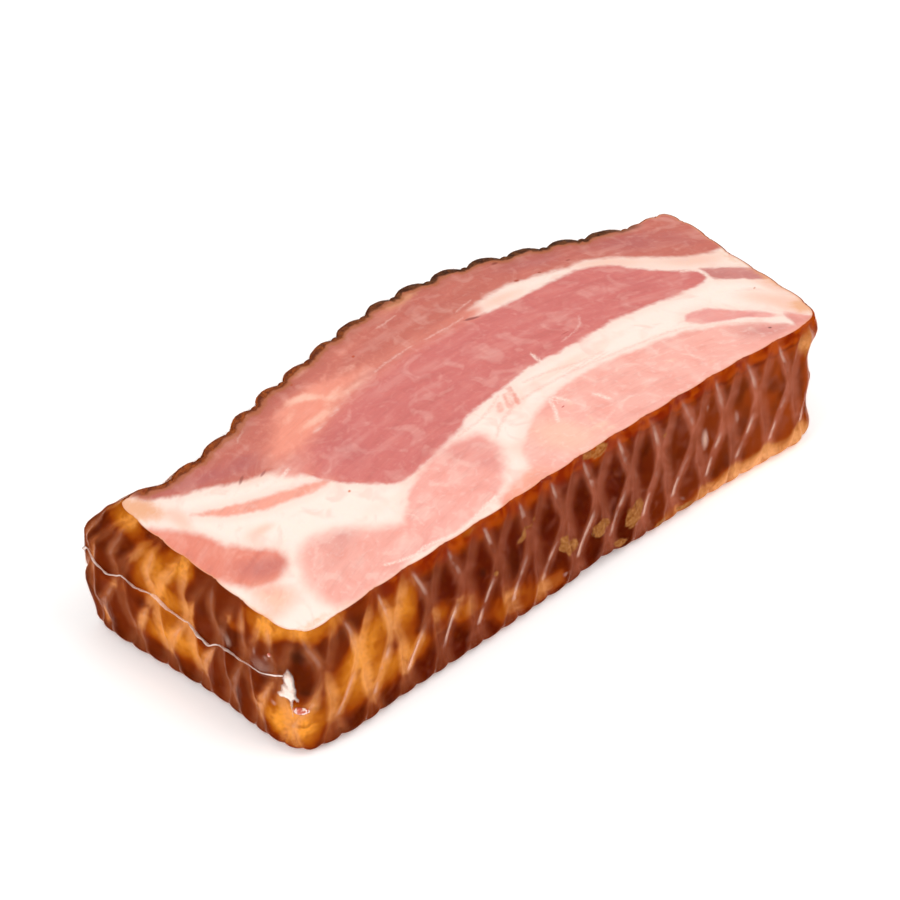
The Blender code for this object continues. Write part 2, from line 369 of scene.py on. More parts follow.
def filled_plan(border, spacing):
    """Even triangles inside a border: (points with the border's first, their inside distance, faces)."""
    low, high = border.min(0), border.max(0)
    columns = np.arange(low[0], high[0], spacing)
    rows = np.arange(low[1], high[1], spacing * math.sqrt(3) / 2)
    grid = np.array([(x + (k % 2) * spacing / 2, y) for k, y in enumerate(rows) for x in columns])
    depth_in = inside_by(grid, border[::3])
    kept = depth_in > CLEAR_OF_BORDER * spacing
    points = np.vstack([border, grid[kept]])
    count = len(border)
    edges = [(i, (i + 1) % count) for i in range(count)]
    found = geometry.delaunay_2d_cdt([Vector(p) for p in points], edges, [], 1, 1e-5)
    source = [ids[0] for ids in found[3]]
    faces = [tuple(source[i] for i in face) for face in found[2]]
    return points, np.concatenate([np.zeros(count), depth_in[kept]]), faces


def slab_object(name, rings, facts, spacing, proud):
    """A closed skin from rings and a cut face: (object, points, their inside distance, their facts)."""
    count = len(rings[0])
    wall = np.vstack(rings)
    plan, inside, cut_faces = filled_plan(rings[0][:, :2], spacing)
    cut = np.column_stack([plan, cut_height(plan, inside) + proud])[count:]
    points = np.vstack([wall, cut])
    faces = []
    for ring in range(len(rings) - 1):
        start = ring * count
        for i in range(count):
            j = (i + 1) % count
            faces.append((start + i, start + count + i, start + count + j, start + j))
    last = (len(rings) - 1) * count
    faces.append(tuple(range(last + count - 1, last - 1, -1)))
    wall_faces = len(faces)
    shift = len(wall) - count
    faces += [tuple(i if i < count else i + shift for i in face) for face in cut_faces]
    data = bpy.data.meshes.new(name)
    placed = (points - np.array((*CENTRE, 0.0))) * MM
    data.from_pydata([tuple(p) for p in placed], [], faces)
    data.shade_smooth()
    data.polygons.foreach_set("material_index", [0] * wall_faces + [1] * (len(faces) - wall_faces))
    obj = bpy.data.objects.new(name, data)
    bpy.context.scene.collection.objects.link(obj)
    known = {key: np.concatenate([fact[key] for fact in facts] + [np.full(len(cut), filler)])
             for key, filler in (("strand", 9.0), ("shines", 0.0), ("depth", 0.0))}
    inside = np.concatenate([inside[:count], np.full(len(wall) - count, -1.0), inside[count:]])
    return obj, points, inside, known


def push_out(obj, amounts):
    """Moves each point along its normal by so many millimetres."""
    places = np.empty(len(amounts) * 3, np.float32)
    normals = np.empty(len(amounts) * 3, np.float32)
    obj.data.vertices.foreach_get("co", places)
    obj.data.vertices.foreach_get("normal", normals)
    obj.data.vertices.foreach_set("co", places + normals * np.repeat(amounts, 3) * MM)
    obj.data.update()


def give_facts(obj, known):
    """Stores what each point of the mesh knows, for its material to read."""
    for name, values in known.items():
        attribute = obj.data.attributes.new(name, "FLOAT", "POINT")
        attribute.data.foreach_set("value", np.asarray(values, np.float32))


# Where the smoke left the fat of the wall amber, and where lean or soot kept it dark: x, y and
# height of each patch, its reach along and up the wall, and how much of it there is.
SMOKE_PATCHES = [
    (8, 0, 47, 13, 4, 1.1), (33, 1, 35, 13, 9, 1.0), (24, 1, 27, 9, 8, 1.0), (46, 1, 35, 5, 10, 0.9),
    (30, 1, 17, 14, 7, 1.0), (14, 1, 22, 8, 7, 0.8), (46, 1, 18, 9, 6, 0.9), (58, 1, 26, 4, 4, 0.7),
    (68, 1, 19, 8, 7, 0.85), (0, 3, 13, 9, 8, 1.3), (73, 1, 48, 5, 3, 0.9), (88, 1, 11, 11, 8, 0.8),
    (106, 1, 8, 9, 5, 0.8), (163, 1, 4, 9, 3, 0.8), (185, 1, 4, 12, 4.5, 1.4), (206, 1, 4, 12, 5, 1.8),
    (224, 2, 5, 8, 6, 1.8), (227, 1, 41, 4, 6, 1.4), (1, 14, 46, 9, 5, 1.4), (1, 50, 45, 7, 5, 1.3),
    (1, 63, 41, 8, 7, 1.15), (0, 56, 32, 14, 6, 1.2), (-1, 53, 18, 15, 7, 1.45), (0, 27, 39, 4, 3, 0.7),
    (-1, 11, 14, 8, 8, 0.5), (-1, 2, 12, 8, 8, 1.2), (-2, 88, 32, 2.5, 5, 0.7), (-3, 85, 9, 2.5, 4, 0.9),
    (0, 76, 47, 7, 3, 0.7), (-2, 80, 27, 6, 2, 0.6), (-3, 78, 14, 3, 3, 0.5), (4, 82, 47, 8, 2, 0.9),
    (2, 40, 43, 6, 6, -1.5), (2, 30, 47, 4, 4, -1.0), (2, 66, 49, 6, 3, -0.7), (-1, 32, 31, 10, 5, -1.3),
    (-2, 79, 35, 6, 6, -1.0), (-2, 29, 14, 6, 9, -1.3), (-2, 76, 19, 5, 6, -0.8), (-2, 93, 20, 4, 12, -0.6),
    (1, 4, 42, 5, 4, -1.2), (0, 13, 33, 9, 4, -0.6), (15, 1, 37, 8, 4, -0.7), (7, 1, 29, 4, 5, -0.5),
    (2, 1, 38, 6, 3, -0.9), (60, 1, 8, 16, 3, -0.6),
    (25, 1, 44, 7, 3.5, -0.5), (37, 1, 46, 5, 2.5, -0.3), (54, 1, 33, 4, 6, -0.7), (17, 1, 20, 4, 3, -0.6),
    (38, 1, 24, 4, 3, -0.4), (50, 1, 24, 3, 3, -0.4), (66, 1, 16, 4, 4, -0.3), (62, 1, 17, 3, 2, -0.35),
    (-1, 66, 25, 4, 2, -0.4), (-3, 55, 4, 50, 4, -0.6),
]
# Crumbs of spice and smoked fat stuck flat on the wall: x, y, height, reach along and up
CRUMBS = [(114, 0, 20.5, 3.2, 4.0), (117, 0, 16.5, 3.2, 3.6), (130, 0, 17.0, 4.8, 3.6),
          (146, -0.5, 14.0, 5.8, 5.6), (139, -0.5, 6.5, 2.6, 2.2), (95.5, 0, 32.4, 3.4, 1.3),
          (98.5, 0, 34.6, 3.4, 1.3), (161, 0.5, 37.5, 2.4, 2.0), (131, 2, 46.5, 5.0, 2.4),
          (126, 2, 47.0, 3.0, 1.4), (170, -1, 4.5, 4.5, 1.2), (158, -1, 4.0, 4.0, 1.4),
          (83, 0, 26, 1.2, 1.0), (101, 0.5, 36.8, 2.2, 1.0)]
CRUMB_RISE = 0.3
# Stuck soot, written the same way
SOOT = [(77, 0, 30, 1.6, 1.8), (4, 1, 27, 2.4, 1.8), (8, 0, 20, 2.6, 2.0), (2, 2, 40, 3.6, 3.2)]


def patch_share(points, x, y, height, along, up):
    """How near each point is to a patch's middle, in the patch's own reach."""
    aside = np.hypot(points[:, 0] - x, points[:, 1] - y) / along
    return np.hypot(aside, (points[:, 2] - height) / up)


# How finely the slab is drawn: columns for each pillow, rows down the wall and in below, and the
# width of the triangles on the cut face. Its pillows are nearly flat in the middle.
BACON_COLUMNS = 9
WALL_DEPTHS = [0.0, 0.12, 0.4, 0.8] + list(np.linspace(1.6, HEIGHT - BOTTOM_RADIUS - 0.9, 46))
UNDER_SHARES = [0.06, 0.12, 0.2, 0.28, 0.36, 0.44, 0.52, 0.6, 0.68, 0.76, 0.84, 0.9]
CUT_SPACING = 1.25
PILLOW_SHARPNESS = 2.4
rings, facts = slab_rings(BACON_COLUMNS, WALL_DEPTHS, UNDER_SHARES, GROOVE, PILLOW_SHARPNESS, 0.0)
bacon, bacon_points, bacon_inside, bacon_facts = slab_object("bacon_slab", rings, facts, CUT_SPACING, 0.0)
along, across, height = bacon_points.T
crumb_share = np.max([1 - patch_share(bacon_points, *spot) for spot in CRUMBS], axis=0)
bacon_facts["crumb"] = crumb_share
push_out(bacon, CRUMB_RISE * smooth(crumb_share, 0.1, 0.4))
amber = sum(amount * np.exp(-patch_share(bacon_points, *spot) ** 2) for *spot, amount in SMOKE_PATCHES)
# The back, the right end and the underside have broad patches of their own
unseen = np.maximum(smooth(across, 84.0, 92.0) * smooth(along, 5.0, 20.0), smooth(along, 232.0, 238.0))
unseen = np.maximum(unseen, 1 - smooth(height, 0.0, 1.5))
bacon_facts["amber"] = amber + unseen * (0.3 + 1.0 * lumps(bacon_points, 19.0, 5))
bacon_facts["soot"] = np.max([np.exp(-patch_share(bacon_points, *spot) ** 2) for spot in SOOT], axis=0)
# The dark skin turns redder towards the right end, and a little at the left, with a wandering edge
wander = along + 12 * lumps(bacon_points, 20.0, 6)
bacon_facts["redness"] = np.maximum(smooth(wander, 130.0, 245.0), 0.25 * (1 - smooth(wander, 10.0, 60.0)))
bacon_facts["rim_band"] = smooth(along, 20.0, 50.0) * (1 - smooth(across, 40.0, 70.0))
# The smoke caught the back edge hardest and left a dark crust there
bacon_facts["crust"] = (smooth(across, 78.0, 86.0) * smooth(along, 6.0, 14.0)
                        * (1 - smooth(bacon_facts["depth"], 2.0, 6.0)))
bacon_facts["amber"] -= 1.5 * bacon_facts["crust"]

# The muscles of the cut face. Each has its colour, how softly it runs out into the fat, in
# millimetres, and its outline.
MUSCLES = {
    "outer_band": ("#CB7466", 1.6, [(11, 84.5), (16, 79.5), (22, 76), (29.8, 73), (35, 70), (40.5, 67.3),
                                    (46.3, 65.8), (52, 63.8), (58, 66), (64, 72), (80, 76.5), (98, 79),
                                    (125, 82), (148, 81), (156, 84.5), (170, 85.5), (182, 82.5), (193, 79),
                                    (204, 75.5), (213, 68.5), (222, 60), (231, 53),
                                    (241, 50), (252, 60), (250, 92), (215, 104), (170, 118), (130, 122),
                                    (80, 112), (40, 102), (12, 96)]),
    "eye": ("#D67A75", 1.2, [(53, 65), (57, 70), (64, 73), (74, 71.5), (83, 74), (92, 77.3), (101, 80.5),
                             (125, 83), (150, 81), (160, 77.5), (185, 76), (199, 73.5), (206, 68),
                             (213, 58.5), (219.5, 51),
                             (223.5, 47.5), (224.3, 43.5), (222, 40.5), (214, 40.8), (205, 42.3), (193, 44.7),
                             (182, 46.2), (160, 46.5), (145, 47.5), (130, 45.5), (115, 43.5), (100, 38),
                             (85, 34.5), (76, 33.5), (71, 36), (64, 43), (58.5, 50), (55.5, 57), (54, 61)]),
    "bridge": ("#E8927F", 2.6, [(55, 64), (64, 68), (74, 70.5), (86, 73.5), (100, 77), (125, 80), (150, 79),
                                (157, 82), (150, 84.5), (125, 85), (100, 84), (84, 83), (70, 80),
                                (56, 76), (50, 70)]),
    "wedge": ("#D08A84", 1.0, [(226, 46.3), (229.5, 43.7), (234, 39.8), (238, 36), (243, 33), (242, 26),
                               (237, 27.3), (233.3, 30.4), (230, 34), (226.6, 37), (225, 39.5),
                               (225.4, 42.5)]),
    "chop": ("#FAB7AA", 1.5, [(108, 8), (112, 17), (121, 24.5), (134, 30.5), (150, 33), (165, 32.5),
                              (180, 29.3), (194, 25.8), (203, 21.3), (210, 17), (217, 12), (221.5, 7),
                              (223.6, 4.4), (224, -3), (200, -6), (150, -6), (110, -4)]),
    "chop_tip": ("#EEA29B", 1.1, [(200, 29.5), (204, 31.2), (210, 29), (216, 22.5), (221.5, 16), (225, 10.6),
                                  (221, 11.8), (215, 16.8), (208.5, 20.6), (202.5, 24.6)]),
    "corner_end": ("#EFA59A", 1.0, [(226, 7.5), (227.4, 10.6), (229.8, 7), (233, 2), (236, -4), (219, -4),
                                    (223, 2), (225, 4.6)]),
    "tongue": ("#F9B2A6", 1.5, [(45, 5), (55, 13), (62, 19), (70, 26), (78, 31), (90, 35), (101, 36),
                                (108, 34), (109.5, 29), (106, 21), (100, 14), (92, 8.5), (80, 5.5),
                                (68, 3.8), (55, 4.5)]),
    "tongue_end": ("#E89A92", 4.0, [(94, 34), (101, 35.5), (107.5, 33.5), (108.5, 29), (105.5, 22), (100, 15),
                                    (97, 22)]),
    "pale_end": ("#F7B3A6", 3.6, [(22, 3), (21, 15), (25, 24), (30, 30), (38, 32), (46, 29), (54, 22),
                                  (62, 17), (52, 9), (42, 2)]),
    "left_edge": ("#E98C78", 2.4, [(3, 71), (8, 66), (13, 58), (16, 48), (21, 41), (25.5, 35), (23, 28.5),
                                   (15, 25), (8, 27), (5, 34), (0, 42), (-2, 55), (0, 66)]),
    "streak": ("#F9AC98", 1.4, [(18, 66.5), (27, 62), (40, 57), (52, 53), (61, 49.5), (56, 48.5), (45, 50),
                                (33, 54), (24, 59.5)]),
    "streak_end": ("#F2A596", 2.6, [(50, 62), (54, 65), (60, 66), (59, 60), (54, 58)]),
    "front_strip": ("#FAB09A", 1.8, [(88, 4), (97, 8.2), (106, 10), (112, 8), (112, -3), (92, -3)]),
    "low_left": ("#FFCBB4", 4.0, [(3, 14), (6, 20), (8, 26), (14, 24), (15, 18), (10, 14)]),
    "stripe_1": ("#F5B4A4", 0.9, [(121, 37.5), (123, 37), (125.5, 41), (123.5, 40.5)]),
    "stripe_2": ("#F5B4A4", 0.9, [(124.5, 37), (126.5, 37), (129.5, 42.5), (127.8, 42)]),
    "stripe_3": ("#F0A596", 0.9, [(128, 36.5), (130, 37), (133.5, 44), (131.5, 43.6)]),
}
# Warm blotches and mauve shades on the lean, and blushes in the fat: x, y, reach along and across,
# turn in degrees, amount
BLOTCHES = [
    (83, 81, 16, 6, 18, 1.1), (70, 75, 13, 6, 20, 1.1), (78, 85, 14, 4, 10, 0.9), (100, 84, 16, 3, 8, 0.5),
    (60, 72, 7, 3, 30, 0.6), (62, 62, 8, 5, 60, 0.35), (55, 55, 6, 3, 30, 0.5), (45, 84, 20, 3, 12, 0.3),
    (138, 103, 10, 2.5, 3, 0.9), (90, 98, 7, 2.2, 15, 0.9), (67, 40, 8, 3, -50, 0.4),
    (6, 62, 3, 9, 10, 0.4), (14, 46, 4, 8, 35, 0.35), (108, 97, 16, 4, 10, 0.45), (170, 101, 14, 3, -20, 0.3),
]
SHADES = [
    (24, 80, 13, 5, -15, 1.0), (46, 74, 10, 5, -10, 1.0), (62, 90, 18, 4, 16, 0.4), (190, 88, 22, 5, -24, 0.7),
    (18, 32, 9, 6, -30, 0.7), (42, 27, 14, 8, 0, 0.5), (60, 63, 6, 6, 0, 0.4), (222, 74, 14, 7, -35, 0.8),
    (236, 60, 5, 10, 10, 0.5), (112, 90, 22, 4, 6, 0.3), (150, 92, 14, 3, 0, 0.3), (74, 55, 14, 8, 50, 0.45),
    (120, 56, 30, 5, 8, 0.25), (205, 58, 12, 9, -45, 0.45), (150, 72, 26, 4, 2, 0.3), (92, 42, 12, 3, 10, 0.2),
    (104, 30, 4, 5, 60, 0.4), (212, 9, 11, 7, -40, 0.7), (224, 6, 5, 4, 0, 0.5), (12, 36, 5, 6, 20, 0.35),
]
BLUSHES = [(9, 78, 4, 9, 20, 1.0), (14, 66, 3, 9, -20, 0.6), (24, 45, 6, 4, 40, 0.5), (30, 46, 4, 2, 0, 0.5),
           (60, 30, 8, 4, 0, 0.25), (10, 20, 7, 6, 0, 0.5), (22, 10, 5, 8, 0, 0.4), (228, 20, 5, 12, 30, 0.6),
           (236, 26, 3, 12, 10, 0.8), (155, 40, 30, 3, 0, 0.45), (112, 20, 5, 9, 30, 0.4),
           (33, 28, 6, 3, 0, 0.5), (232, 10, 4, 6, 0, 0.8), (165, 81, 12, 3, -6, 0.7),
           (205, 71, 14, 4, -38, 0.8), (228, 52, 14, 5, -35, 0.8), (45, 66, 9, 3, -12, 0.5),
           (84, 33.5, 14, 1.8, 14, 0.6), (70, 24, 5, 3, 40, 0.3)]
# Small pale spots in the lean, written the same way
GLOWS = [(80, 87, 6, 1.9, -6, 0.85), (85, 84, 4, 1.7, -40, 0.7), (78, 75.3, 9, 2.0, 4, 0.8),
         (97, 79.2, 9, 1.8, 8, 0.55), (127, 15, 9, 13, 20, 1.0), (90, 81, 6, 1.6, 20, 0.6),
         (104, 88, 6, 1.3, 10, 0.4), (72, 82, 5, 1.6, 20, 0.5), (140, 104, 5, 1.4, 2, 0.7),
         (90, 96.5, 4, 1.2, 15, 0.6), (141, 25, 2.5, 1.1, 70, 0.6), (139.5, 10.2, 3.5, 1.3, 0, 0.9),
         (130, 17.6, 2.4, 1.2, 20, 0.6), (180.7, 18, 3, 1, -20, 0.7), (190, 8.5, 2.6, 1.1, 0, 0.6),
         (164, 14, 2.6, 1.1, 10, 0.5), (140, 14.7, 3, 0.9, 70, 0.5), (140.3, 7, 4, 1, 0, 0.7)]
# Thin seams of connective tissue, each a line through points: pink ones in the fat, white ones in lean
PINK_SEAMS = [[(103, 37.5), (112, 38.5), (120, 40.5), (127, 43.5)],
              [(112, 29), (120, 34), (132, 37), (146, 36.8), (160, 35.6), (176, 32.6), (192, 28.8),
               (199, 25.5)],
              [(138, 43), (148, 41.5), (158, 38.5), (168, 37)],
              [(196, 25.5), (206, 21.5), (215, 13), (221, 6)]]
WHITE_SEAMS = [[(142, 11), (148, 12.5)], [(176, 24), (185, 21.5)], [(190, 20.5), (187.5, 15), (189, 11)],
               [(163, 50), (172, 51.5), (177, 55.5)], [(62, 24), (66, 19), (65, 14)],
               [(125, 97.5), (134, 98.5)], [(52, 84), (57, 87)], [(150, 86), (158, 87.5)],
               [(108, 80.5), (116, 81.8), (126, 82.5)], [(132, 82), (142, 81.6), (149, 81.8)]]
# Fat runs in thin sheets between some muscles, and in spikes up into them
FAT_SEAMS = [[(195, 27), (203, 23.2), (209, 20), (214, 17.2), (218, 14.2), (221.6, 10.6), (224, 6.6),
              (224.4, 4.4)],
             [(220.5, 49.5), (224.6, 46.4), (225, 43), (223.6, 39.5)], [(150, 45), (150.5, 49), (151, 52)],
             [(137.5, 31), (135, 26), (131.5, 21.5)], [(139.5, 31), (141.5, 26.5)], [(150, 23), (151.5, 18)],
             [(44, 8), (52, 5.2), (60, 5.6), (70, 3.6), (80, 5.4), (90, 8)], [(40, 60), (47, 60), (54, 62.5)]]
# Dark pores, grains of pepper and dried juice: x, y, half length, half width, turn in degrees, colour
SPECKS = [(108.7, 91.5, 0.6, 0.5, 0, "#C04A20"), (15.3, 85.5, 1.1, 0.8, 0, "#7A2E18"),
          (40.1, 68.6, 2.2, 0.6, 20, "#9A5A50"), (47, 66.2, 1.6, 0.5, 5, "#A8605A"),
          (217.2, 7.6, 0.5, 0.4, 0, "#50201C"), (60.2, 41.3, 0.6, 0.5, 0, "#D86A30"),
          (151, 79.6, 2.6, 0.6, -14, "#8A4A44"), (177, 84.6, 0.9, 0.6, 0, "#A03C20"),
          (179, 97, 1.2, 0.6, 0, "#8A4438"), (186, 82.6, 0.6, 0.5, 0, "#A04A30"),
          (230.5, 26, 0.8, 0.3, 40, "#D89A80"), (138, 25.4, 0.7, 0.3, 10, "#D04A48"),
          (198, 81, 0.9, 0.4, 10, "#A85A50"), (167, 52.4, 1.8, 0.3, 8, "#C06058"),
          (84, 94, 0.6, 0.4, 0, "#B8583A")]
# Fat at the rim that the smoke reached: x, y, reach along and across, turn, amount
HONEYED = [(240, 24, 4, 13, 0, 1.0), (234, 8, 4, 5, 30, 1.0), (238, 45, 2, 6, 0, 0.5), (8, 80, 6, 9, 20, 1.0),
           (141, 103.5, 9, 2.2, 2, 1.0), (95, 99.5, 10, 2.0, 15, 1.0), (120, 105, 6, 1.6, 5, 0.6),
           (2, 18, 2.5, 12, 0, 0.6), (9, 3.5, 9, 2, 0, 0.6), (165, 103, 7, 1.6, -18, 0.5),
           (216, 84, 8, 1.6, -25, 0.6), (24, 3, 9, 1.2, 0, 0.4)]


def blotch_at(points, spots):
    """The sum of soft turned ovals at points."""
    total = np.zeros(len(points))
    for x, y, along, across, turn, amount in spots:
        c, s = math.cos(math.radians(turn)), math.sin(math.radians(turn))
        dx, dy = points[:, 0] - x, points[:, 1] - y
        total += amount * np.exp(-((dx * c + dy * s) / along) ** 2 - ((dy * c - dx * s) / across) ** 2)
    return total


def seam_at(points, seams, fade):
    """(signed distance from the nearest seam, how much of it there is here) at points."""
    nearest = np.full(len(points), 99.0)
    amount = np.zeros(len(points))
    for seam in seams:
        line = closed_curve(seam + seam[-2:0:-1], 6)[:6 * (len(seam) - 1) + 1]
        for start, end in zip(line, line[1:]):
            length = np.linalg.norm(end - start)
            way = (end - start) / length
            beyond = np.maximum(0.0, np.abs((points - start) @ way - length / 2) - length / 2)
            side = (points[:, 0] - start[0]) * way[1] - (points[:, 1] - start[1]) * way[0]
            span = np.hypot(side, beyond)
            closer = span < np.abs(nearest)
            nearest = np.where(closer, np.copysign(span, side), nearest)
            amount = np.where(closer, np.exp(-(beyond / 0.8) ** 2 - (side / fade) ** 2), amount)
    return nearest, amount


on_cut = bacon_inside >= 0.0
cut_plan = bacon_points[on_cut, :2]
lean = np.full(len(cut_plan), -9.0)
weight_sum = np.full(len(cut_plan), 1e-9)
softness_sum = np.zeros(len(cut_plan))
colour_sum = np.zeros((len(cut_plan), 3))
for code, softness, outline in MUSCLES.values():
    depth_in = inside_by(cut_plan, closed_curve(outline, 5))
    lean = np.maximum(lean, depth_in)
    weight = np.exp(np.clip(depth_in, -30.0, 0.5 * softness) / (0.5 + 0.4 * softness))
    weight_sum += weight
    softness_sum += weight * softness
    colour_sum += weight[:, None] * np.array(linear(code)[:3])
pink_seam, pink_amount = seam_at(cut_plan, PINK_SEAMS, 1.6)
white_seam, white_amount = seam_at(cut_plan, WHITE_SEAMS, 1.6)
fat_seam, fat_amount = seam_at(cut_plan, FAT_SEAMS, 2.0)
GRAIN_BEND = 0.0019
GRAIN_MIDDLE = 130.0
grain_bend = GRAIN_BEND * (cut_plan[:, 0] - GRAIN_MIDDLE) ** 2
# The crust is thickest on the middle of each scallop, and thin where a strand bit in
rim_ring = bacon_points[:len(rings[0])]
rim_strand = bacon_facts["strand"][:len(rings[0])]
nearest_rim = [int(np.argmin((rim_ring[:, 0] - x) ** 2 + (rim_ring[:, 1] - y) ** 2)) for x, y in cut_plan]
scallop = smooth(rim_strand[nearest_rim], 0.0, 5.0)
back_crust = (smooth(cut_plan[:, 1], 74.0, 84.0) * smooth(cut_plan[:, 0], 9.0, 16.0)
              * (1 - smooth(cut_plan[:, 0], 228.0, 234.0)))
# What each point of the cut knows, and what the points of the wall get instead
CUT_FACTS = {
    "lean": (lean, -9.0), "softness": (softness_sum / weight_sum, 1.0),
    "warmth": (blotch_at(cut_plan, BLOTCHES), 0.0), "shade": (blotch_at(cut_plan, SHADES), 0.0),
    "blush": (blotch_at(cut_plan, BLUSHES), 0.0), "glow": (blotch_at(cut_plan, GLOWS), 0.0),
    "honeyed": (blotch_at(cut_plan, HONEYED), 0.0),
    "pink_seam": (pink_seam, 9.0), "pink_amount": (pink_amount, 0.0),
    "white_seam": (white_seam, 9.0), "white_amount": (white_amount, 0.0),
    "fat_seam": (fat_seam, 9.0), "fat_amount": (fat_amount, 0.0),
    "rim": (bacon_inside[on_cut], 9.0), "scallop": (scallop, 0.0), "back_crust": (back_crust, 0.0),
    "grain_x": (cut_plan[:, 0], 0.0), "grain_y": (cut_plan[:, 1] + grain_bend, 0.0),
}
for name, (values, filler) in CUT_FACTS.items():
    full = np.full(len(bacon_points), filler)
    full[on_cut] = values
    bacon_facts[name] = full
give_facts(bacon, bacon_facts)
lean_colours = np.ones((len(bacon_points), 4), np.float32)
lean_colours[on_cut, :3] = colour_sum / weight_sum[:, None]
colour_attribute = bacon.data.attributes.new("lean_colour", "FLOAT_COLOR", "POINT")
colour_attribute.data.foreach_set("color", lean_colours.ravel())

# Smoked rind: cured skin and fat that hot smoke stained from amber to mahogany, under the film.
# The net's prints stay pale, because the strands kept the smoke off them.
def coat(tree, under, source, start, full, strength, colour, held=1.0, rise="SMOOTHSTEP"):
    """Lays a colour over another where source goes from start to full, up to strength times held."""
    share = add(tree, "MapRange", {"Value": source, "From Min": start, "From Max": full,
                                   "To Max": strength}, interpolation_type=rise).outputs[0]
    share = add(tree, "Math", {0: share, 1: held}, operation="MULTIPLY").outputs[0]
    over = linear(colour) if isinstance(colour, str) else colour
    return add(tree, "Mix", {0: share, 6: under, 7: over}, data_type="RGBA").outputs[2]


rind = empty_material("smoked_rind")
tree = rind.node_tree
where = add(tree, "TexCoord").outputs["Object"]
strand, shines, depth, amber_share, crumb_share, soot_share, redness, rim_band, crust_share = (
    add(tree, "Attribute", attribute_name=name).outputs["Fac"]
    for name in ("strand", "shines", "depth", "amber", "crumb", "soot", "redness", "rim_band", "crust"))
clouds, tone_and_sheen_clouds, mottle, russet_clouds, crumble = (
    add(tree, "TexNoise", {"Vector": where, "Scale": 1 / (size * MM), "Detail": detail,
                           "Distortion": distortion}).outputs["Fac"]
    for size, detail, distortion in ((10, 4.0, 0.0), (6, 2.0, 0.8), (3.4, 4.0, 0.4), (4.6, 3.0, 0.6),
                                     (1.1, 4.0, 0.0)))
along_slab = add(tree, "SeparateXYZ", {0: where}).outputs["X"]
to_right, to_left = (
    add(tree, "MapRange", {"Value": along_slab, "From Min": start * MM, "From Max": end * MM}).outputs[0]
    for start, end in ((-30, 30), (-55, -85)))
off_left = add(tree, "Math", {0: to_left, 1: -0.6, 2: 1.0}, operation="MULTIPLY_ADD").outputs[0]
# Each of these colours has a left half and a right half
tan, honey, strand_dark, crust_dark, crust_pale = (
    add(tree, "Mix", {0: to_right, 6: linear(left), 7: linear(right)}, data_type="RGBA").outputs[2]
    for left, right in (("#B86414", "#CC8448"), ("#F09A38", "#FAB47A"), ("#985038", "#BC6E56"),
                        ("#6A2C10", "#3C1C0C"), ("#A2501E", "#6E3C1E")))

# Dark skin: mahogany, deeper in clouds, then paler towards the strands and in clouds of painted film sheen
skin = add(tree, "Mix", {0: redness, 6: linear("#521002"), 7: linear("#9A4012")},
           data_type="RGBA").outputs[2]
skin = coat(tree, skin, clouds, 0.45, 0.68, 0.6, "#3A0800")
# Paler towards the strands: partly where less smoke reached, partly a painted reflection of the film on the
# pillow edges
skin = coat(tree, skin, strand, 4.2, 0.6, 0.45, "#8E4426", off_left)
# Painted sheen: the film's reflection laid on the skin as grey pink clouds
skin = coat(tree, skin, tone_and_sheen_clouds, 0.52, 0.72, 0.4, "#8A4C3C", off_left)

# Amber fat, from burnt orange at its edges through amber to honey where the smoke was thinnest
ripe = add(tree, "Math", {0: mottle, 1: 0.4, 2: amber_share}, operation="MULTIPLY_ADD").outputs[0]
ripe = add(tree, "Math", {0: tone_and_sheen_clouds, 1: 0.7, 2: ripe}, operation="MULTIPLY_ADD").outputs[0]
# Near the left end the strands' prints ripened first, so that dark pillows stand in an amber net
left_print = add(tree, "MapRange", {"Value": strand, "From Min": 2.8, "From Max": 0.4, "To Max": 0.38},
                 interpolation_type="SMOOTHSTEP").outputs[0]
ripe = add(tree, "Math", {0: left_print, 1: to_left, 2: ripe}, operation="MULTIPLY_ADD").outputs[0]
for low, high, colour in ((0.65, 1.2, "#8A3204"), (0.95, 1.65, tan), (1.4, 2.4, honey)):
    skin = coat(tree, skin, ripe, low, high, 1.0, colour)
amber_mask = add(tree, "MapRange", {"Value": ripe, "From Min": 0.85, "From Max": 1.4},
                 interpolation_type="SMOOTHSTEP").outputs[0]
skin = coat(tree, skin, crumble, 0.5, 0.66, 0.3, "#8A3A08", rise="LINEAR")
skin = coat(tree, skin, russet_clouds, 0.5, 0.68, 0.6, "#A0480A", amber_mask)

# The rim under the cut keeps a band of orange brown skin, with a dark lower line on its right half
rim_place = add(tree, "Math", {0: mottle, 1: 2.4, 2: depth}, operation="MULTIPLY_ADD").outputs[0]
rim_deep = add(tree, "MapRange", {"Value": tone_and_sheen_clouds, "From Min": 0.4, "From Max": 0.62}).outputs[0]
rim_colour = add(tree, "Mix", {0: rim_deep, 6: linear("#AA4406"), 7: linear("#802002")},
                 data_type="RGBA").outputs[2]
rim_line = add(tree, "Math", {0: rim_place, 1: 6.0}, operation="SUBTRACT").outputs[0]
rim_line = add(tree, "Math", {0: rim_line}, operation="ABSOLUTE").outputs[0]
rim_keeps = add(tree, "Math", {0: amber_mask, 1: -0.65, 2: 1.0}, operation="MULTIPLY_ADD").outputs[0]
rim_keeps = add(tree, "Math", {0: rim_keeps, 1: rim_band}, operation="MULTIPLY").outputs[0]
line_keeps = add(tree, "Math", {0: rim_keeps, 1: to_right}, operation="MULTIPLY").outputs[0]
skin = coat(tree, skin, rim_place, 9.0, 3.6, 1.0, rim_colour, rim_keeps)
skin = coat(tree, skin, rim_line, 0.9, 0.1, 0.4, "#340A02", line_keeps)

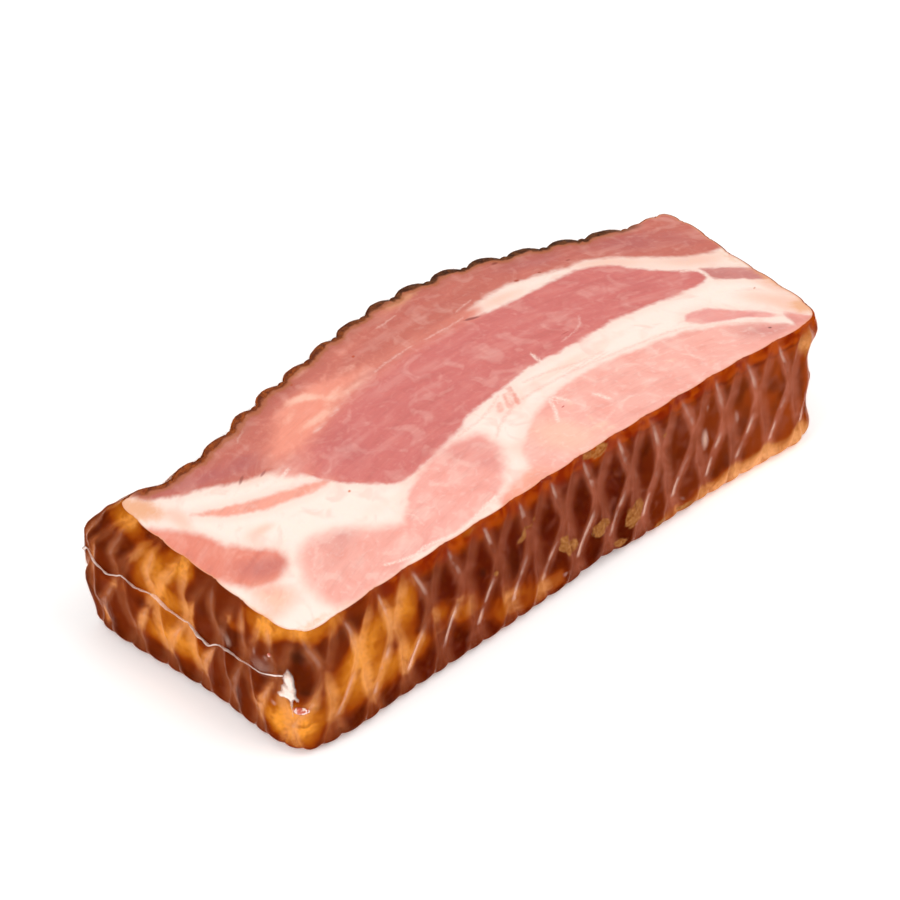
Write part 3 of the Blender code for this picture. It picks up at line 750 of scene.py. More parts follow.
# Strand prints, about 3 mm to each side and soft, brownish pink on the dark skin and peach on amber.
# They are fainter under the rim and above the lower edge.
strand_edge = add(tree, "Math", {0: crumble, 1: 1.2, 2: strand}, operation="MULTIPLY_ADD").outputs[0]
strand_edge = add(tree, "Math", {0: mottle, 1: 1.6, 2: strand_edge}, operation="MULTIPLY_ADD").outputs[0]
strand_mask = add(tree, "MapRange", {"Value": strand_edge, "From Min": 4.7, "From Max": 1.2},
                  interpolation_type="SMOOTHSTEP").outputs[0]
strand_strength = add(tree, "MapRange", {"Value": tone_and_sheen_clouds, "From Min": 0.35, "From Max": 0.65, "To Min": 0.42,
                                         "To Max": 0.82}).outputs[0]
# Prints of strands on the side that shines are drawn stronger: a painted highlight
painted_shine_share = add(tree, "MapRange", {"Value": shines, "To Min": 0.75, "To Max": 1.0}).outputs[0]
below_rim, above_hem = (
    add(tree, "MapRange", {"Value": depth, "From Min": start, "From Max": full, "To Min": least},
        interpolation_type="SMOOTHSTEP").outputs[0]
    for start, full, least in ((2.0, 8.0, 0.25), (46.0, 39.0, 0.35)))
for share in (strand_strength, painted_shine_share, below_rim, above_hem):
    strand_mask = add(tree, "Math", {0: strand_mask, 1: share}, operation="MULTIPLY").outputs[0]
strand_colour = strand_dark
for share, colour in ((to_left, linear("#A8603A")), (amber_mask, linear("#E8A266"))):
    strand_colour = add(tree, "Mix", {0: share, 6: strand_colour, 7: colour}, data_type="RGBA").outputs[2]
skin = add(tree, "Mix", {0: strand_mask, 6: skin, 7: strand_colour}, data_type="RGBA").outputs[2]

# The back edge's crust, russet on the left and almost black on the right
crust_light = add(tree, "MapRange", {"Value": mottle, "From Min": 0.42, "From Max": 0.68}).outputs[0]
crust_colour = add(tree, "Mix", {0: crust_light, 6: crust_dark, 7: crust_pale},
                   data_type="RGBA").outputs[2]
skin = add(tree, "Mix", {0: crust_share, 6: skin, 7: crust_colour}, data_type="RGBA").outputs[2]

# Soot, then the ochre crumbs with their sharp ragged edges
soot_edge = add(tree, "Math", {0: crumble, 1: 0.5, 2: soot_share}, operation="MULTIPLY_ADD").outputs[0]
skin = coat(tree, skin, soot_edge, 0.5, 1.2, 0.7, "#301006")
crumb_edge = add(tree, "Math", {0: mottle, 1: 1.1, 2: crumb_share}, operation="MULTIPLY_ADD").outputs[0]
crumb_mask = add(tree, "MapRange", {"Value": crumb_edge, "From Min": 0.62, "From Max": 0.78,
                                    "To Max": 0.8}).outputs[0]
crumb_light = add(tree, "MapRange", {"Value": crumble, "From Min": 0.35, "From Max": 0.65}).outputs[0]
crumb_colour = add(tree, "Mix", {0: crumb_light, 6: linear("#8A4E20"), 7: linear("#BA8048")},
                   data_type="RGBA").outputs[2]
skin = add(tree, "Mix", {0: crumb_mask, 6: skin, 7: crumb_colour}, data_type="RGBA").outputs[2]

relief = add(tree, "Math", {0: crumb_mask, 1: 1.4, 2: mottle}, operation="MULTIPLY_ADD").outputs[0]
relief = add(tree, "Math", {0: crumble, 1: 0.4, 2: relief}, operation="MULTIPLY_ADD").outputs[0]
rind_bump = add(tree, "Bump", {"Height": relief, "Strength": 0.4, "Distance": 0.4 * MM}).outputs[0]
surface = add(tree, "BsdfPrincipled", {"Base Color": skin, "Roughness": 0.5, "IOR": 1.45,
                                       "Specular IOR Level": 0.0, "Normal": rind_bump})
add(tree, "OutputMaterial", {"Surface": surface.outputs[0]})

# Cut meat: moist cured lean in shades of rose between bands of soft white fat. The lean shows
# fine fibres along the slab and both are a little translucent.
meat = empty_material("cut_cured_meat")
tree = meat.node_tree
CUT_NAMES = ("lean", "softness", "warmth", "shade", "blush", "pink_seam", "pink_amount", "white_seam",
             "white_amount", "fat_seam", "fat_amount", "honeyed", "glow", "rim", "scallop", "back_crust",
             "grain_x", "grain_y")
(lean_depth, softness, warmth, shade, blush, pink_seam, pink_amount, white_seam, white_amount, fat_seam,
 fat_amount, honeyed, glow, rim, scallop, back_crust, grain_x, grain_y) = (
    add(tree, "Attribute", attribute_name=name).outputs["Fac"] for name in CUT_NAMES)
muscle_colour = add(tree, "Attribute", attribute_name="lean_colour").outputs["Color"]
grain = add(tree, "CombineXYZ", {"X": grain_x, "Y": grain_y}).outputs[0]
# Fibres are drawn 0.8 mm wide and 7 mm long: real ones are finer than the picture can show
fibre_place, streak_place, marbling_place = (
    add(tree, "VectorMath", {0: grain, 1: (1 / length, 1 / width, 1.0)}, operation="MULTIPLY").outputs[0]
    for length, width in ((7, 0.8), (22, 5.0), (7, 4.5)))
fibres, streaks, clouds, wobble, mottle, speckle, soft_spot = (
    add(tree, "TexNoise", {"Vector": place, "Scale": 1 / size, "Detail": detail,
                           "Distortion": distortion}).outputs["Fac"]
    for place, size, detail, distortion in (
        (fibre_place, 1.0, 3.0, 0.5), (streak_place, 1.0, 2.5, 0.3), (grain, 13, 4.0, 0.0),
        (grain, 5.5, 2.0, 0.0), (grain, 2.4, 4.0, 0.6), (grain, 0.8, 3.0, 0.0), (grain, 8, 2.0, 0.8)))
paleness = add(tree, "SeparateColor", {"Color": muscle_colour}).outputs["Green"]
on_pale, on_dark, on_palest = (
    add(tree, "MapRange", {"Value": paleness, "From Min": start, "From Max": full,
                           "To Min": least}).outputs[0]
    for start, full, least in ((0.3, 0.45, 0.4), (0.5, 0.3, 0.3), (0.32, 0.5, 0.1)))

# Lean: each muscle's own colour, paler and deeper in long streaks and soft spots, mauve in the
# shades, then warm blotches, pale spots, and last the fibres
shaded = add(tree, "Math", {0: shade, 1: clouds}, operation="MULTIPLY").outputs[0]
warmed = add(tree, "Math", {0: soft_spot, 1: 0.8, 2: warmth}, operation="MULTIPLY_ADD").outputs[0]
warmed = add(tree, "Math", {0: mottle, 1: 0.5, 2: warmed}, operation="MULTIPLY_ADD").outputs[0]
glowing = add(tree, "Math", {0: mottle, 1: 0.5, 2: glow}, operation="MULTIPLY_ADD").outputs[0]
lean_colour = coat(tree, muscle_colour, streaks, 0.48, 0.74, 0.22, "#F6C0B4")
lean_colour = coat(tree, lean_colour, soft_spot, 0.5, 0.68, 0.42, "#FFDACE", on_pale)
lean_colour = coat(tree, lean_colour, soft_spot, 0.48, 0.32, 0.3, "#F09A8C", on_pale)
lean_colour = coat(tree, lean_colour, streaks, 0.5, 0.3, 0.22, "#B85F58", on_dark)
lean_colour = coat(tree, lean_colour, shaded, 0.05, 0.6, 0.6, "#B4686A")
lean_colour = coat(tree, lean_colour, warmed, 0.6, 2.0, 0.85, "#F8A08A")
lean_colour = coat(tree, lean_colour, glowing, 0.35, 1.2, 0.8, "#FFCCB6")
lean_colour = coat(tree, lean_colour, fibres, 0.52, 0.3, 0.07, "#A85450", rise="LINEAR")
lean_colour = coat(tree, lean_colour, mottle, 0.55, 0.75, 0.09, "#FBCDC0", rise="LINEAR")

# Marbling: short broken threads of fat through the palest lean, 0.4 mm wide
bend = add(tree, "TexNoise", {"Vector": marbling_place, "Scale": 2.0, "Detail": 3.0}).outputs["Color"]
marbling_place = add(tree, "VectorMath", {0: bend, 1: (0.8, 0.8, 0.0), 2: marbling_place},
                     operation="MULTIPLY_ADD").outputs[0]
marbling = add(tree, "TexVoronoi", {"Vector": marbling_place, "Scale": 1.0}, feature="DISTANCE_TO_EDGE",
               voronoi_dimensions="2D").outputs["Distance"]
broken = add(tree, "MapRange", {"Value": mottle, "From Min": 0.46, "From Max": 0.66, "To Max": 0.22},
             interpolation_type="SMOOTHSTEP").outputs[0]
broken = add(tree, "Math", {0: broken, 1: on_palest}, operation="MULTIPLY").outputs[0]
lean_colour = coat(tree, lean_colour, marbling, 0.18, 0.0, 1.0, "#FFF0E8", broken)

# Fat: cream white, blushed where thin lean lies under it and beside the lean
blushed = add(tree, "Math", {0: clouds, 1: 0.3, 2: blush}, operation="MULTIPLY_ADD").outputs[0]
fat_colour = coat(tree, linear("#FFEDE2"), blushed, 0.2, 1.0, 0.9, "#F9CAB6")
fat_colour = coat(tree, fat_colour, lean_depth, -5.0, -0.3, 0.45, "#FBD6C8")
fat_colour = coat(tree, fat_colour, soft_spot, 0.5, 0.72, 0.5, "#F8CFC2")

# Where lean ends the fat creeps in between its fibres
edge = add(tree, "Math", {0: wobble, 1: 3.0, 2: lean_depth}, operation="MULTIPLY_ADD").outputs[0]
edge = add(tree, "Math", {0: mottle, 1: 1.2, 2: edge}, operation="MULTIPLY_ADD").outputs[0]
edge = add(tree, "Math", {0: fibres, 1: 0.8, 2: edge}, operation="MULTIPLY_ADD").outputs[0]
edge = add(tree, "Math", {0: edge, 1: 2.5}, operation="SUBTRACT").outputs[0]
edge = add(tree, "Math", {0: edge, 1: softness}, operation="DIVIDE").outputs[0]
lean_mask = add(tree, "MapRange", {"Value": edge, "From Min": -0.9, "From Max": 0.9},
                interpolation_type="SMOOTHSTEP").outputs[0]
flesh = add(tree, "Mix", {0: lean_mask, 6: fat_colour, 7: lean_colour}, data_type="RGBA").outputs[2]

# Seams of connective tissue and fat, 0.5 to 1 mm wide, wandering a little
for seam, amount, half_width, strength, code in ((pink_seam, pink_amount, 1.3, 0.45, "#F2B2A2"),
                                                 (white_seam, white_amount, 0.8, 0.35, "#FFE2D6"),
                                                 (fat_seam, fat_amount, 1.3, 0.9, "#FFE6DA")):
    wander = add(tree, "Math", {0: mottle, 1: 1.6, 2: seam}, operation="MULTIPLY_ADD").outputs[0]
    wander = add(tree, "Math", {0: wander, 1: 0.8}, operation="SUBTRACT").outputs[0]
    wander = add(tree, "Math", {0: wander}, operation="ABSOLUTE").outputs[0]
    faded = add(tree, "MapRange", {"Value": speckle, "From Min": 0.35, "From Max": 0.6,
                                   "To Min": 0.3}).outputs[0]
    faded = add(tree, "Math", {0: faded, 1: amount}, operation="MULTIPLY").outputs[0]
    flesh = coat(tree, flesh, wander, half_width, 0.0, strength, code, faded)

# Smoke stained the outermost fat, and left a dark uneven crust at the back edge
stained = add(tree, "Math", {0: mottle, 1: 0.7, 2: honeyed}, operation="MULTIPLY_ADD").outputs[0]
flesh = coat(tree, flesh, stained, 0.55, 1.3, 0.8, "#EFB084")
flesh = coat(tree, flesh, rim, 0.9, 0.0, 0.5, "#E8A070")
crust_reach = rim
for source, pull in ((mottle, -2.2), (wobble, -2.6), (scallop, -1.1)):
    crust_reach = add(tree, "Math", {0: source, 1: pull, 2: crust_reach}, operation="MULTIPLY_ADD").outputs[0]
to_right = add(tree, "MapRange", {"Value": grain_x, "From Min": 90.0, "From Max": 150.0}).outputs[0]
crust_light = add(tree, "MapRange", {"Value": mottle, "From Min": 0.42, "From Max": 0.68}).outputs[0]
crust_dark, crust_pale = (
    add(tree, "Mix", {0: to_right, 6: linear(left), 7: linear(right)}, data_type="RGBA").outputs[2]
    for left, right in (("#6A2C10", "#42200E"), ("#A2501E", "#744222")))
crust_colour = add(tree, "Mix", {0: crust_light, 6: crust_dark, 7: crust_pale},
                   data_type="RGBA").outputs[2]
for near, far, strength, colour in ((5.5, -1.0, 0.45, "#A8604E"), (1.0, -0.6, 0.7, "#B06840"),
                                    (-0.6, -1.8, 1.0, crust_colour)):
    flesh = coat(tree, flesh, crust_reach, near, far, strength, colour, back_crust)

# Dark pores and specks of spice, ragged at their edges
for x, y, half_length, half_width, turn, code in SPECKS:
    bent = (x, y + GRAIN_BEND * (x - GRAIN_MIDDLE) ** 2, 0.0)
    place = add(tree, "Mapping", {"Vector": grain, "Location": bent,
                                  "Rotation": (0.0, 0.0, math.radians(turn)),
                                  "Scale": (half_length, half_width, 1.0)}, vector_type="TEXTURE").outputs[0]
    span = add(tree, "VectorMath", {0: place}, operation="LENGTH").outputs["Value"]
    span = add(tree, "Math", {0: mottle, 1: 0.9, 2: span}, operation="MULTIPLY_ADD").outputs[0]
    flesh = coat(tree, flesh, span, 1.9, 0.9, 0.75, code)

lift = add(tree, "Math", {0: lean_mask, 1: 0.5, 2: fibres}, operation="MULTIPLY_ADD").outputs[0]
lift = add(tree, "Math", {0: speckle, 1: 0.5, 2: lift}, operation="MULTIPLY_ADD").outputs[0]
meat_bump = add(tree, "Bump", {"Height": lift, "Strength": 0.3, "Distance": 0.25 * MM}).outputs[0]
surface = add(tree, "BsdfPrincipled", {"Base Color": flesh, "Roughness": 0.5, "IOR": 1.4,
                                       "Specular IOR Level": 0.15, "Normal": meat_bump,
                                       "Subsurface Weight": 0.1, "Subsurface Scale": 1.2 * MM,
                                       "Subsurface Radius": (1.0, 0.45, 0.3)})
add(tree, "OutputMaterial", {"Surface": surface.outputs[0]})
bacon.data.materials.append(rind)
bacon.data.materials.append(meat)
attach(bacon, "root")
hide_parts("bacon_pack")

# The film: one bag of clear shrink film, drawn tight on all sides. It spans the net's grooves in shallow
# valleys and lifts in a few blisters; white highlights along the creases that follow the strands and on the
# blisters are painted on.
FILM_PROUD = 0.3
FILM_GROOVE = 0.85 * GROOVE
# Blisters and beads of juice under the film, whitened by painted glints, and wide low patches of painted sheen
# on the
# left end: x, y, height, reach along and up, lift in millimetres
BLISTERS_AND_GLINTS = [(178.5, 0, 27, 1.5, 4.6, 0.6), (193, 0, 27, 1.0, 4.4, 0.5), (146.5, 0.5, 29.5, 1.0, 2.6, 0.5),
            (131.5, 0.5, 31, 0.9, 2.2, 0.35), (163, 0.5, 33, 0.8, 2.0, 0.3), (180.5, 1, 38, 0.9, 2.4, 0.35),
            (113, -1, 9, 1.2, 1.0, 0.45), (117, -1, 6.5, 1.0, 1.1, 0.4), (120, -1, 10, 1.1, 0.9, 0.4),
            (115.5, -1, 11.5, 0.8, 0.7, 0.35), (168, -1, 9, 0.9, 1.2, 0.35), (199, -1, 12, 0.9, 1.6, 0.3),
            (-1, 9, 21, 1.2, 1.2, 0.5), (165, 2, 10.5, 0.9, 1.3, 0.4),
            (-1, 12, 36, 1.2, 1.4, 0.4), (-1, 17, 36, 1.0, 1.6, 0.4), (-1, 28, 32, 1.1, 3.0, 0.45),
            (-1, 71, 33, 1.1, 3.6, 0.4), (-2, 79, 16, 1.0, 4.4, 0.4),
            (-1, 14, 32, 7, 4.5, 0.3), (-1, 73, 32, 3, 5, 0.3), (-1, 31, 33, 6, 4, 0.26),
            (-2, 78, 15, 3, 6, 0.26), (203, 2, 30, 0.9, 2.4, 0.3), (219.5, 2, 27, 0.8, 2.2, 0.3),
            (197, 2, 13, 0.9, 1.8, 0.3)]
FILM_COLUMNS = 7
FILM_DEPTHS = [0.0, 0.15, 0.45, 0.9] + list(np.linspace(1.8, HEIGHT - BOTTOM_RADIUS - 1.0, 44))
FILM_UNDER_SHARES = [0.08, 0.16, 0.26, 0.36, 0.48, 0.6, 0.72, 0.82, 0.9]
FILM_SPACING = 3.0
FILM_SHARPNESS = 2.0
rings, facts = slab_rings(FILM_COLUMNS, FILM_DEPTHS, FILM_UNDER_SHARES, FILM_GROOVE, FILM_SHARPNESS,
                          FILM_PROUD)
film, film_points, _, film_facts = slab_object("shrink_film", rings, facts, FILM_SPACING, FILM_PROUD)
blister_and_glint = np.zeros(len(film_points))
for *spot, lift in BLISTERS_AND_GLINTS:
    blister_and_glint = np.maximum(blister_and_glint, lift * np.exp(-patch_share(film_points, *spot) ** 2))
film_facts["blister_and_glint"] = blister_and_glint
give_facts(film, film_facts)
film_crumbs = np.max([1 - patch_share(film_points, *spot) for spot in CRUMBS], axis=0)
push_out(film, blister_and_glint + CRUMB_RISE * smooth(film_crumbs, 0.0, 0.5))

# Shrink film is polyethylene, about 0.05 mm thick: clear, with a sharp gloss; white highlights are painted
# along creases
shrink_film = empty_material("clear_shrink_film")
tree = shrink_film.node_tree
where = add(tree, "TexCoord").outputs["Object"]
strand, shines, depth, glint_share = (
    add(tree, "Attribute", attribute_name=name).outputs["Fac"]
    for name in ("strand", "shines", "depth", "blister_and_glint"))
upright = add(tree, "VectorMath", {0: where, 1: (1 / (1.6 * MM), 1 / (1.6 * MM), 1 / (9 * MM))},
              operation="MULTIPLY").outputs[0]
wrinkles = add(tree, "TexNoise", {"Vector": upright, "Scale": 1.0, "Detail": 3.0,
                                  "Distortion": 0.5}).outputs["Fac"]
patchy = add(tree, "TexNoise", {"Vector": where, "Scale": 1 / (7 * MM), "Detail": 2.0}).outputs["Fac"]
# Painted highlights along the creases between the knots: faint above the middle row of knots, and strong below
# it.
# They break off in patches, and fade under the rim and towards the left end.
crease_highlight, upper_row, lower_row, above_last, unbroken, off_rim = (
    add(tree, "MapRange", {"Value": source, "From Min": start, "From Max": full, "To Max": strength},
        interpolation_type="SMOOTHSTEP").outputs[0]
    for source, start, full, strength in ((strand, 1.1, 0.0, 1.0), (depth, 15.0, 11.0, 0.4),
                                          (depth, 22.0, 27.0, 0.7), (depth, 37.5, 35.5, 1.0),
                                          (patchy, 0.34, 0.56, 1.0), (depth, 1.0, 6.0, 1.0)))
along_slab = add(tree, "SeparateXYZ", {0: where}).outputs["X"]
off_left = add(tree, "MapRange", {"Value": along_slab, "From Min": -118 * MM, "From Max": -80 * MM,
                                  "To Min": 0.25}).outputs[0]
lower_row = add(tree, "Math", {0: lower_row, 1: above_last}, operation="MULTIPLY").outputs[0]
gleam = add(tree, "Math", {0: upper_row, 1: lower_row}).outputs[0]
for share in (shines, gleam, off_left, unbroken, off_rim):
    crease_highlight = add(tree, "Math", {0: crease_highlight, 1: share}, operation="MULTIPLY").outputs[0]
# Painted glints: the film turns white where it is lifted
painted_glint_white = add(tree, "MapRange", {"Value": glint_share, "From Min": 0.12, "From Max": 0.6, "To Max": 0.55},
            interpolation_type="SMOOTHSTEP").outputs[0]
painted_glint_white = add(tree, "Math", {0: crease_highlight, 1: 0.9, 2: painted_glint_white}, operation="MULTIPLY_ADD", use_clamp=True).outputs[0]
film_bump = add(tree, "Bump", {"Height": wrinkles, "Strength": 0.5, "Distance": 0.25 * MM}).outputs[0]
open_film = add(tree, "BsdfTransparent", {"Color": (1.0, 1.0, 1.0, 1.0)})
gloss = add(tree, "BsdfGlossy", {"Color": linear("#FFE2D2"), "Roughness": 0.12, "Normal": film_bump})
# The painted highlight's colour: a pink white diffuse, not a reflection
painted_highlight = add(tree, "BsdfDiffuse", {"Color": linear("#FFC4AC")})
facing = add(tree, "LayerWeight", {"Blend": 0.5, "Normal": film_bump}).outputs["Facing"]
mirror_share = add(tree, "MapRange", {"Value": facing, "From Min": 0.6, "From Max": 1.0, "To Min": 0.003,
                                      "To Max": 0.35}, interpolation_type="SMOOTHSTEP").outputs[0]
clear = add(tree, "MixShader", {0: mirror_share, 1: open_film.outputs[0], 2: gloss.outputs[0]})
painted_highlight_mix = add(tree, "MixShader", {0: 0.35, 1: painted_highlight.outputs[0], 2: gloss.outputs[0]})
skin = add(tree, "MixShader", {0: painted_glint_white, 1: clear.outputs[0], 2: painted_highlight_mix.outputs[0]})
add(tree, "OutputMaterial", {"Surface": skin.outputs[0]})
film.data.materials.append(shrink_film)
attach(film, "root")

# The end welds: where the bag was closed, its two layers are fused in a thin wavy fin that runs
# across each short end and lies half folded against it.
WELD_LEFT = [(97.0, 28.0), (90.0, 34.0), (86.0, 31.5), (80.0, 30.0), (74.0, 32.5), (68.0, 31.0), (60.0, 32.0),
             (55.0, 30.0), (50.0, 29.0), (46.0, 29.0), (42.0, 26.7), (37.0, 25.6), (33.0, 28.3), (28.0, 29.2),
             (20.0, 29.2), (15.0, 29.6), (10.0, 30.5), (6.0, 32.2)]
WELD_RIGHT = [(4.0, 29.0), (14.0, 26.5), (26.0, 28.0), (38.0, 25.0), (50.0, 27.0), (62.0, 25.5), (74.0, 26.0)]
# Where the weld is cloudiest along each end: place along y and reach
WELD_CLOUDS = [(92.0, 4.0), (79.0, 6.0), (40.0, 6.0), (8.0, 4.0)]
WELD_THICKNESS = 0.3


def wall_place(mesh, height, proud):
    """A point on the film at so many meshes along and at this height, and the way out of the wall."""
    point, normal = edge_at(np.array([mesh]))
    plan = point + wall_at(point, normal, HEIGHT - height, np.array([proud]))
    return np.array((*plan[0], height)), np.array((*normal[0], 0.0))


def mesh_near(x, y, low, high, height):
    """How many meshes along the edge, between low and high, the wall comes nearest to a place in plan."""
    tries = np.linspace(low, high, 120)
    spans = [math.dist(wall_place(mesh, height, 0.0)[0][:2], (x, y)) for mesh in tries]
    return float(tries[int(np.argmin(spans))])


def weld_fin(name, ends, heights, reach, samples):
    """A closed thin strip along the wall: its root on the film, its free edge out by reach, waving."""
    first, last = ends
    ys = np.array([y for y, _ in heights])
    zs = np.array([z for _, z in heights])
    order = np.argsort(ys)
    points, faces = [], []
    for k, mesh in enumerate(np.linspace(first, last, samples)):
        place, out = wall_place(mesh, 26.0, FILM_PROUD)
        height = float(np.interp(place[1], ys[order], zs[order]))
        height += 0.5 * noise.noise(Vector((mesh * 2.6, 1.0, 0.0)))
        height += 0.25 * noise.noise(Vector((mesh * 7.5, 2.0, 0.0)))
        place, out = wall_place(mesh, height, FILM_PROUD)
        stand = reach * (0.7 + 0.5 * noise.noise(Vector((mesh * 1.7, 5.0, 0.0)))
                         + 0.45 * noise.noise(Vector((mesh * 6.1, 9.0, 0.0))))
        taper = min(1.0, 4.0 * k / samples, 4.0 * (samples - 1 - k) / samples)
        curl = 0.5 + 0.8 * noise.noise(Vector((mesh * 2.2, 3.0, 0.0)))
        for share, half in ((-0.2, 0.6), (0.35, 0.5), (0.75, 0.4), (1.0, 0.3)):
            middle = place + out * stand * taper * share + np.array((0, 0, 1)) * curl * max(0.0, share) ** 2
            for side in (1, -1):
                points.append(middle + np.array((0, 0, side * half * WELD_THICKNESS)))
    loop = (0, 2, 4, 6, 7, 5, 3, 1)
    for k in range(samples - 1):
        for a, b in zip(loop, loop[1:] + loop[:1]):
            faces.append((8 * k + a, 8 * k + b, 8 * k + 8 + b, 8 * k + 8 + a))
    faces.append(tuple(reversed(loop)))
    faces.append(tuple(8 * (samples - 1) + i for i in loop))
    data = bpy.data.meshes.new(name)
    data.from_pydata([tuple((p - np.array((*CENTRE, 0.0))) * MM) for p in points], [], faces)
    data.shade_smooth()
    obj = bpy.data.objects.new(name, data)
    bpy.context.scene.collection.objects.link(obj)
    cloud = sum(bump_of(np.array(points)[:, 1] - y, spread) for y, spread in WELD_CLOUDS)
    give_facts(obj, {"cloud": 0.5 + 0.7 * cloud})
    return obj


# Fused polyethylene: two layers melted together, so it is cloudy white and still glossy
welded = empty_material("welded_film")
tree = welded.node_tree
where = add(tree, "TexCoord").outputs["Object"]
cloudy = add(tree, "TexNoise", {"Vector": where, "Scale": 1 / (2.5 * MM), "Detail": 3.0}).outputs["Fac"]
cloud_share = add(tree, "Attribute", attribute_name="cloud").outputs["Fac"]
weld_colour = add(tree, "Mix", {0: cloudy, 6: linear("#FFD2BE"), 7: linear("#FFF4EE")},
                  data_type="RGBA").outputs[2]
weld_alpha = add(tree, "MapRange", {"Value": cloudy, "From Min": 0.3, "From Max": 0.55, "To Min": 0.5,
                                    "To Max": 1.0}).outputs[0]
weld_alpha = add(tree, "Math", {0: weld_alpha, 1: cloud_share}, operation="MULTIPLY",
                 use_clamp=True).outputs[0]
weld_bump = add(tree, "Bump", {"Height": cloudy, "Strength": 0.4, "Distance": 0.3 * MM}).outputs[0]
surface = add(tree, "BsdfPrincipled", {"Base Color": weld_colour, "Roughness": 0.22, "IOR": 1.5,
                                       "Alpha": weld_alpha, "Normal": weld_bump,
                                       "Subsurface Weight": 0.3, "Subsurface Scale": 1.0 * MM,
                                       "Subsurface Radius": (1.0, 0.9, 0.85)})
add(tree, "OutputMaterial", {"Surface": surface.outputs[0]})
left_ends = (mesh_near(4.6, 90.0, MESHES * 0.5, MESHES * 0.75, 26.0),
             mesh_near(1.5, 6.5, MESHES * 0.6, MESHES * 0.85, 26.0))
right_ends = (mesh_near(238.0, 4.0, 3.0, MESHES * 0.3, 26.0),
              mesh_near(244.0, 76.0, 3.0, MESHES * 0.4, 26.0))
for name, ends, heights, reach, samples in (("weld_fin_left", left_ends, WELD_LEFT, 1.2, 320),
                                            ("weld_fin_right", right_ends, WELD_RIGHT, 2.4, 240)):
    fin = weld_fin(name, ends, heights, reach, samples)
    fin.data.materials.append(welded)
    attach(fin, "root")

# Where the weld ends at the front left corner, a scrap of film is left: a crumpled white tuft with
# a drawn-out thread. Below it sits a drop of melted fat, caught between bag and meat.
TUFT_MESH = 34.8
TUFT_HEIGHT = 27.2
# The tuft's outline: millimetres to the right and up from its middle
TUFT_OUTLINE = [(-1.3, 6.8), (-0.6, 8.2), (0.4, 6.6), (1.2, 4.8), (1.3, 2.6), (1.9, 0.8), (1.8, -1.2),
                (2.6, -2.8), (2.0, -3.6), (1.4, -2.8), (0.8, -3.8), (0.7, -6.2), (0.7, -9.6), (0.3, -9.8),
                (0.1, -6.2), (-0.3, -3.4), (-1.5, -2.6), (-2.6, -2.8), (-3.4, -1.4), (-2.4, -0.2),
                (-2.3, 1.6), (-1.6, 2.8), (-2.0, 4.8)]
TUFT_SPACING = 0.34
TUFT_DOME = 0.9
TUFT_CREASES = 0.45
tuft_border = closed_curve(TUFT_OUTLINE, 6)
tuft_plan, tuft_inside, tuft_faces = filled_plan(tuft_border, TUFT_SPACING)
count = len(tuft_plan)
tuft_points = []
for side in (1, 0):
    for (right, up), inside in zip(tuft_plan, tuft_inside):
        creases = noise.noise(Vector((right * 1.1, up * 0.6, 3.0)))
        creases += 0.6 * noise.noise(Vector((right * 2.6, up * 1.6, 7.0)))
        rise = side * (0.12 + float(smooth(inside, 0.0, 1.6)) * (TUFT_DOME + TUFT_CREASES * creases))
        mesh = TUFT_MESH + right / MESH_WIDTH_AT_ENDS
        place, _ = wall_place(mesh, TUFT_HEIGHT + up, FILM_PROUD - 0.1 + rise)
        tuft_points.append(tuple((place - np.array((*CENTRE, 0.0))) * MM))
rim_count = len(tuft_border)
tuft_sides = [(i, (i + 1) % rim_count, count + (i + 1) % rim_count, count + i) for i in range(rim_count)]
tuft_back = [tuple(count + i for i in reversed(face)) for face in tuft_faces]
tuft_data = bpy.data.meshes.new("film_tuft")
tuft_data.from_pydata(tuft_points, [], tuft_faces + tuft_back + tuft_sides)
tuft_data.shade_smooth()
tuft = bpy.data.objects.new("film_tuft", tuft_data)
bpy.context.scene.collection.objects.link(tuft)
give_facts(tuft, {"cloud": np.concatenate([0.1 + 1.0 * smooth(tuft_inside, 0.0, 1.1)] * 2)})
tuft_data.materials.append(welded)
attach(tuft, "root")

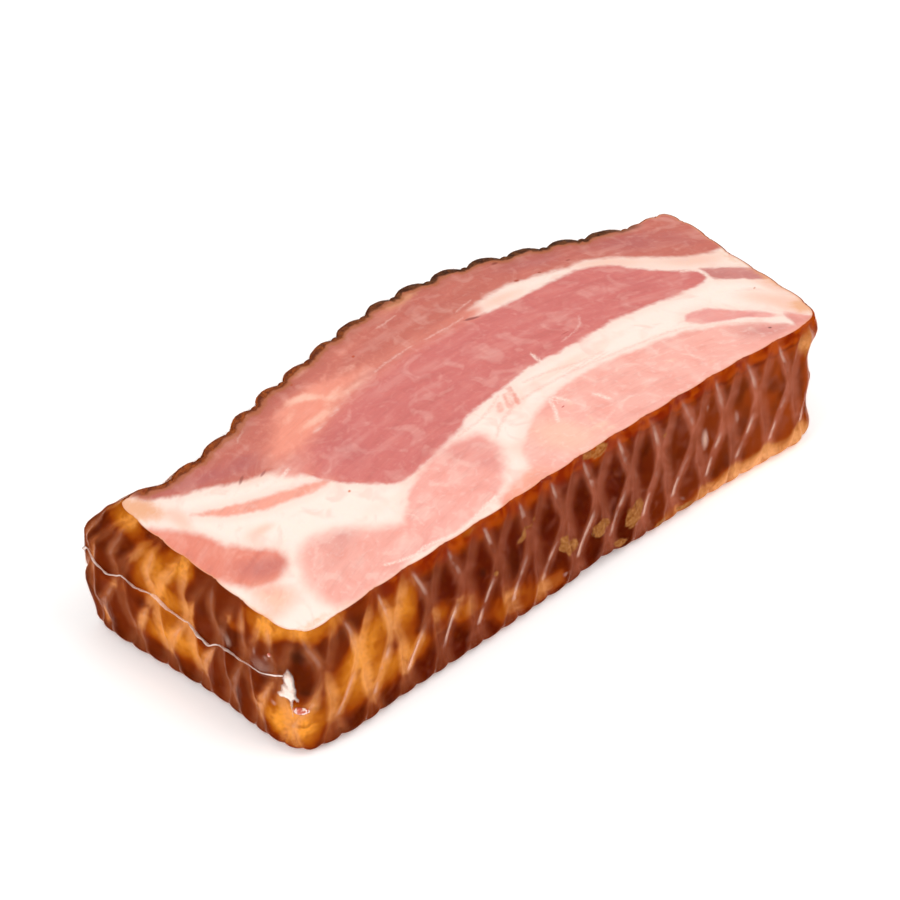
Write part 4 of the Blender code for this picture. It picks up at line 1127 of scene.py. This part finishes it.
# Melted fat: a rosy wet drop, glossy, with white patches painted on as its highlight
fat_bead = empty_material("melted_fat")
tree = fat_bead.node_tree
where = add(tree, "TexCoord").outputs["Object"]
painted_highlight_share = add(tree, "TexNoise", {"Vector": where, "Scale": 1 / (1.1 * MM), "Detail": 2.0}).outputs["Fac"]
painted_highlight_share = add(tree, "MapRange", {"Value": painted_highlight_share, "From Min": 0.5, "From Max": 0.72},
                interpolation_type="SMOOTHSTEP").outputs[0]
bead_colour = add(tree, "Mix", {0: painted_highlight_share, 6: linear("#C8583C"), 7: linear("#FFEDE4")},
                  data_type="RGBA").outputs[2]
surface = add(tree, "BsdfPrincipled", {"Base Color": bead_colour, "Roughness": 0.08, "IOR": 1.46,
                                       "Coat Weight": 1.0, "Coat Roughness": 0.03})
add(tree, "OutputMaterial", {"Surface": surface.outputs[0]})
# Each bead: meshes along, height, half width, half height, rise
BEADS = [(35.0, 20.2, 1.9, 1.3, 1.2), (34.3, 38.0, 0.6, 0.7, 0.4)]
bead_points = []
bead_faces = []
for mesh, height, half_width, half_height, rise in BEADS:
    start = len(bead_points)
    for ring in range(9):
        polar = ring / 8 * math.pi
        for step in range(16):
            turn = step / 8 * math.pi
            right = half_width * math.sin(polar) * math.cos(turn)
            up = half_height * math.sin(polar) * math.sin(turn)
            up += 0.12 * noise.noise(Vector((right * 1.4, up * 1.4, mesh)))
            around = mesh + right / MESH_WIDTH_AT_ENDS
            place, _ = wall_place(around, height + up, 0.2 + rise * math.cos(polar))
            bead_points.append(tuple((place - np.array((*CENTRE, 0.0))) * MM))
    for ring in range(8):
        for step in range(16):
            a = start + ring * 16 + step
            b = start + ring * 16 + (step + 1) % 16
            bead_faces.append((a, a + 16, b + 16, b))
bead_data = bpy.data.meshes.new("fat_beads")
bead_data.from_pydata(bead_points, [], bead_faces)
bead_data.shade_smooth()
beads = bpy.data.objects.new("fat_beads", bead_data)
bpy.context.scene.collection.objects.link(beads)
bead_data.materials.append(fat_bead)
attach(beads, "root")
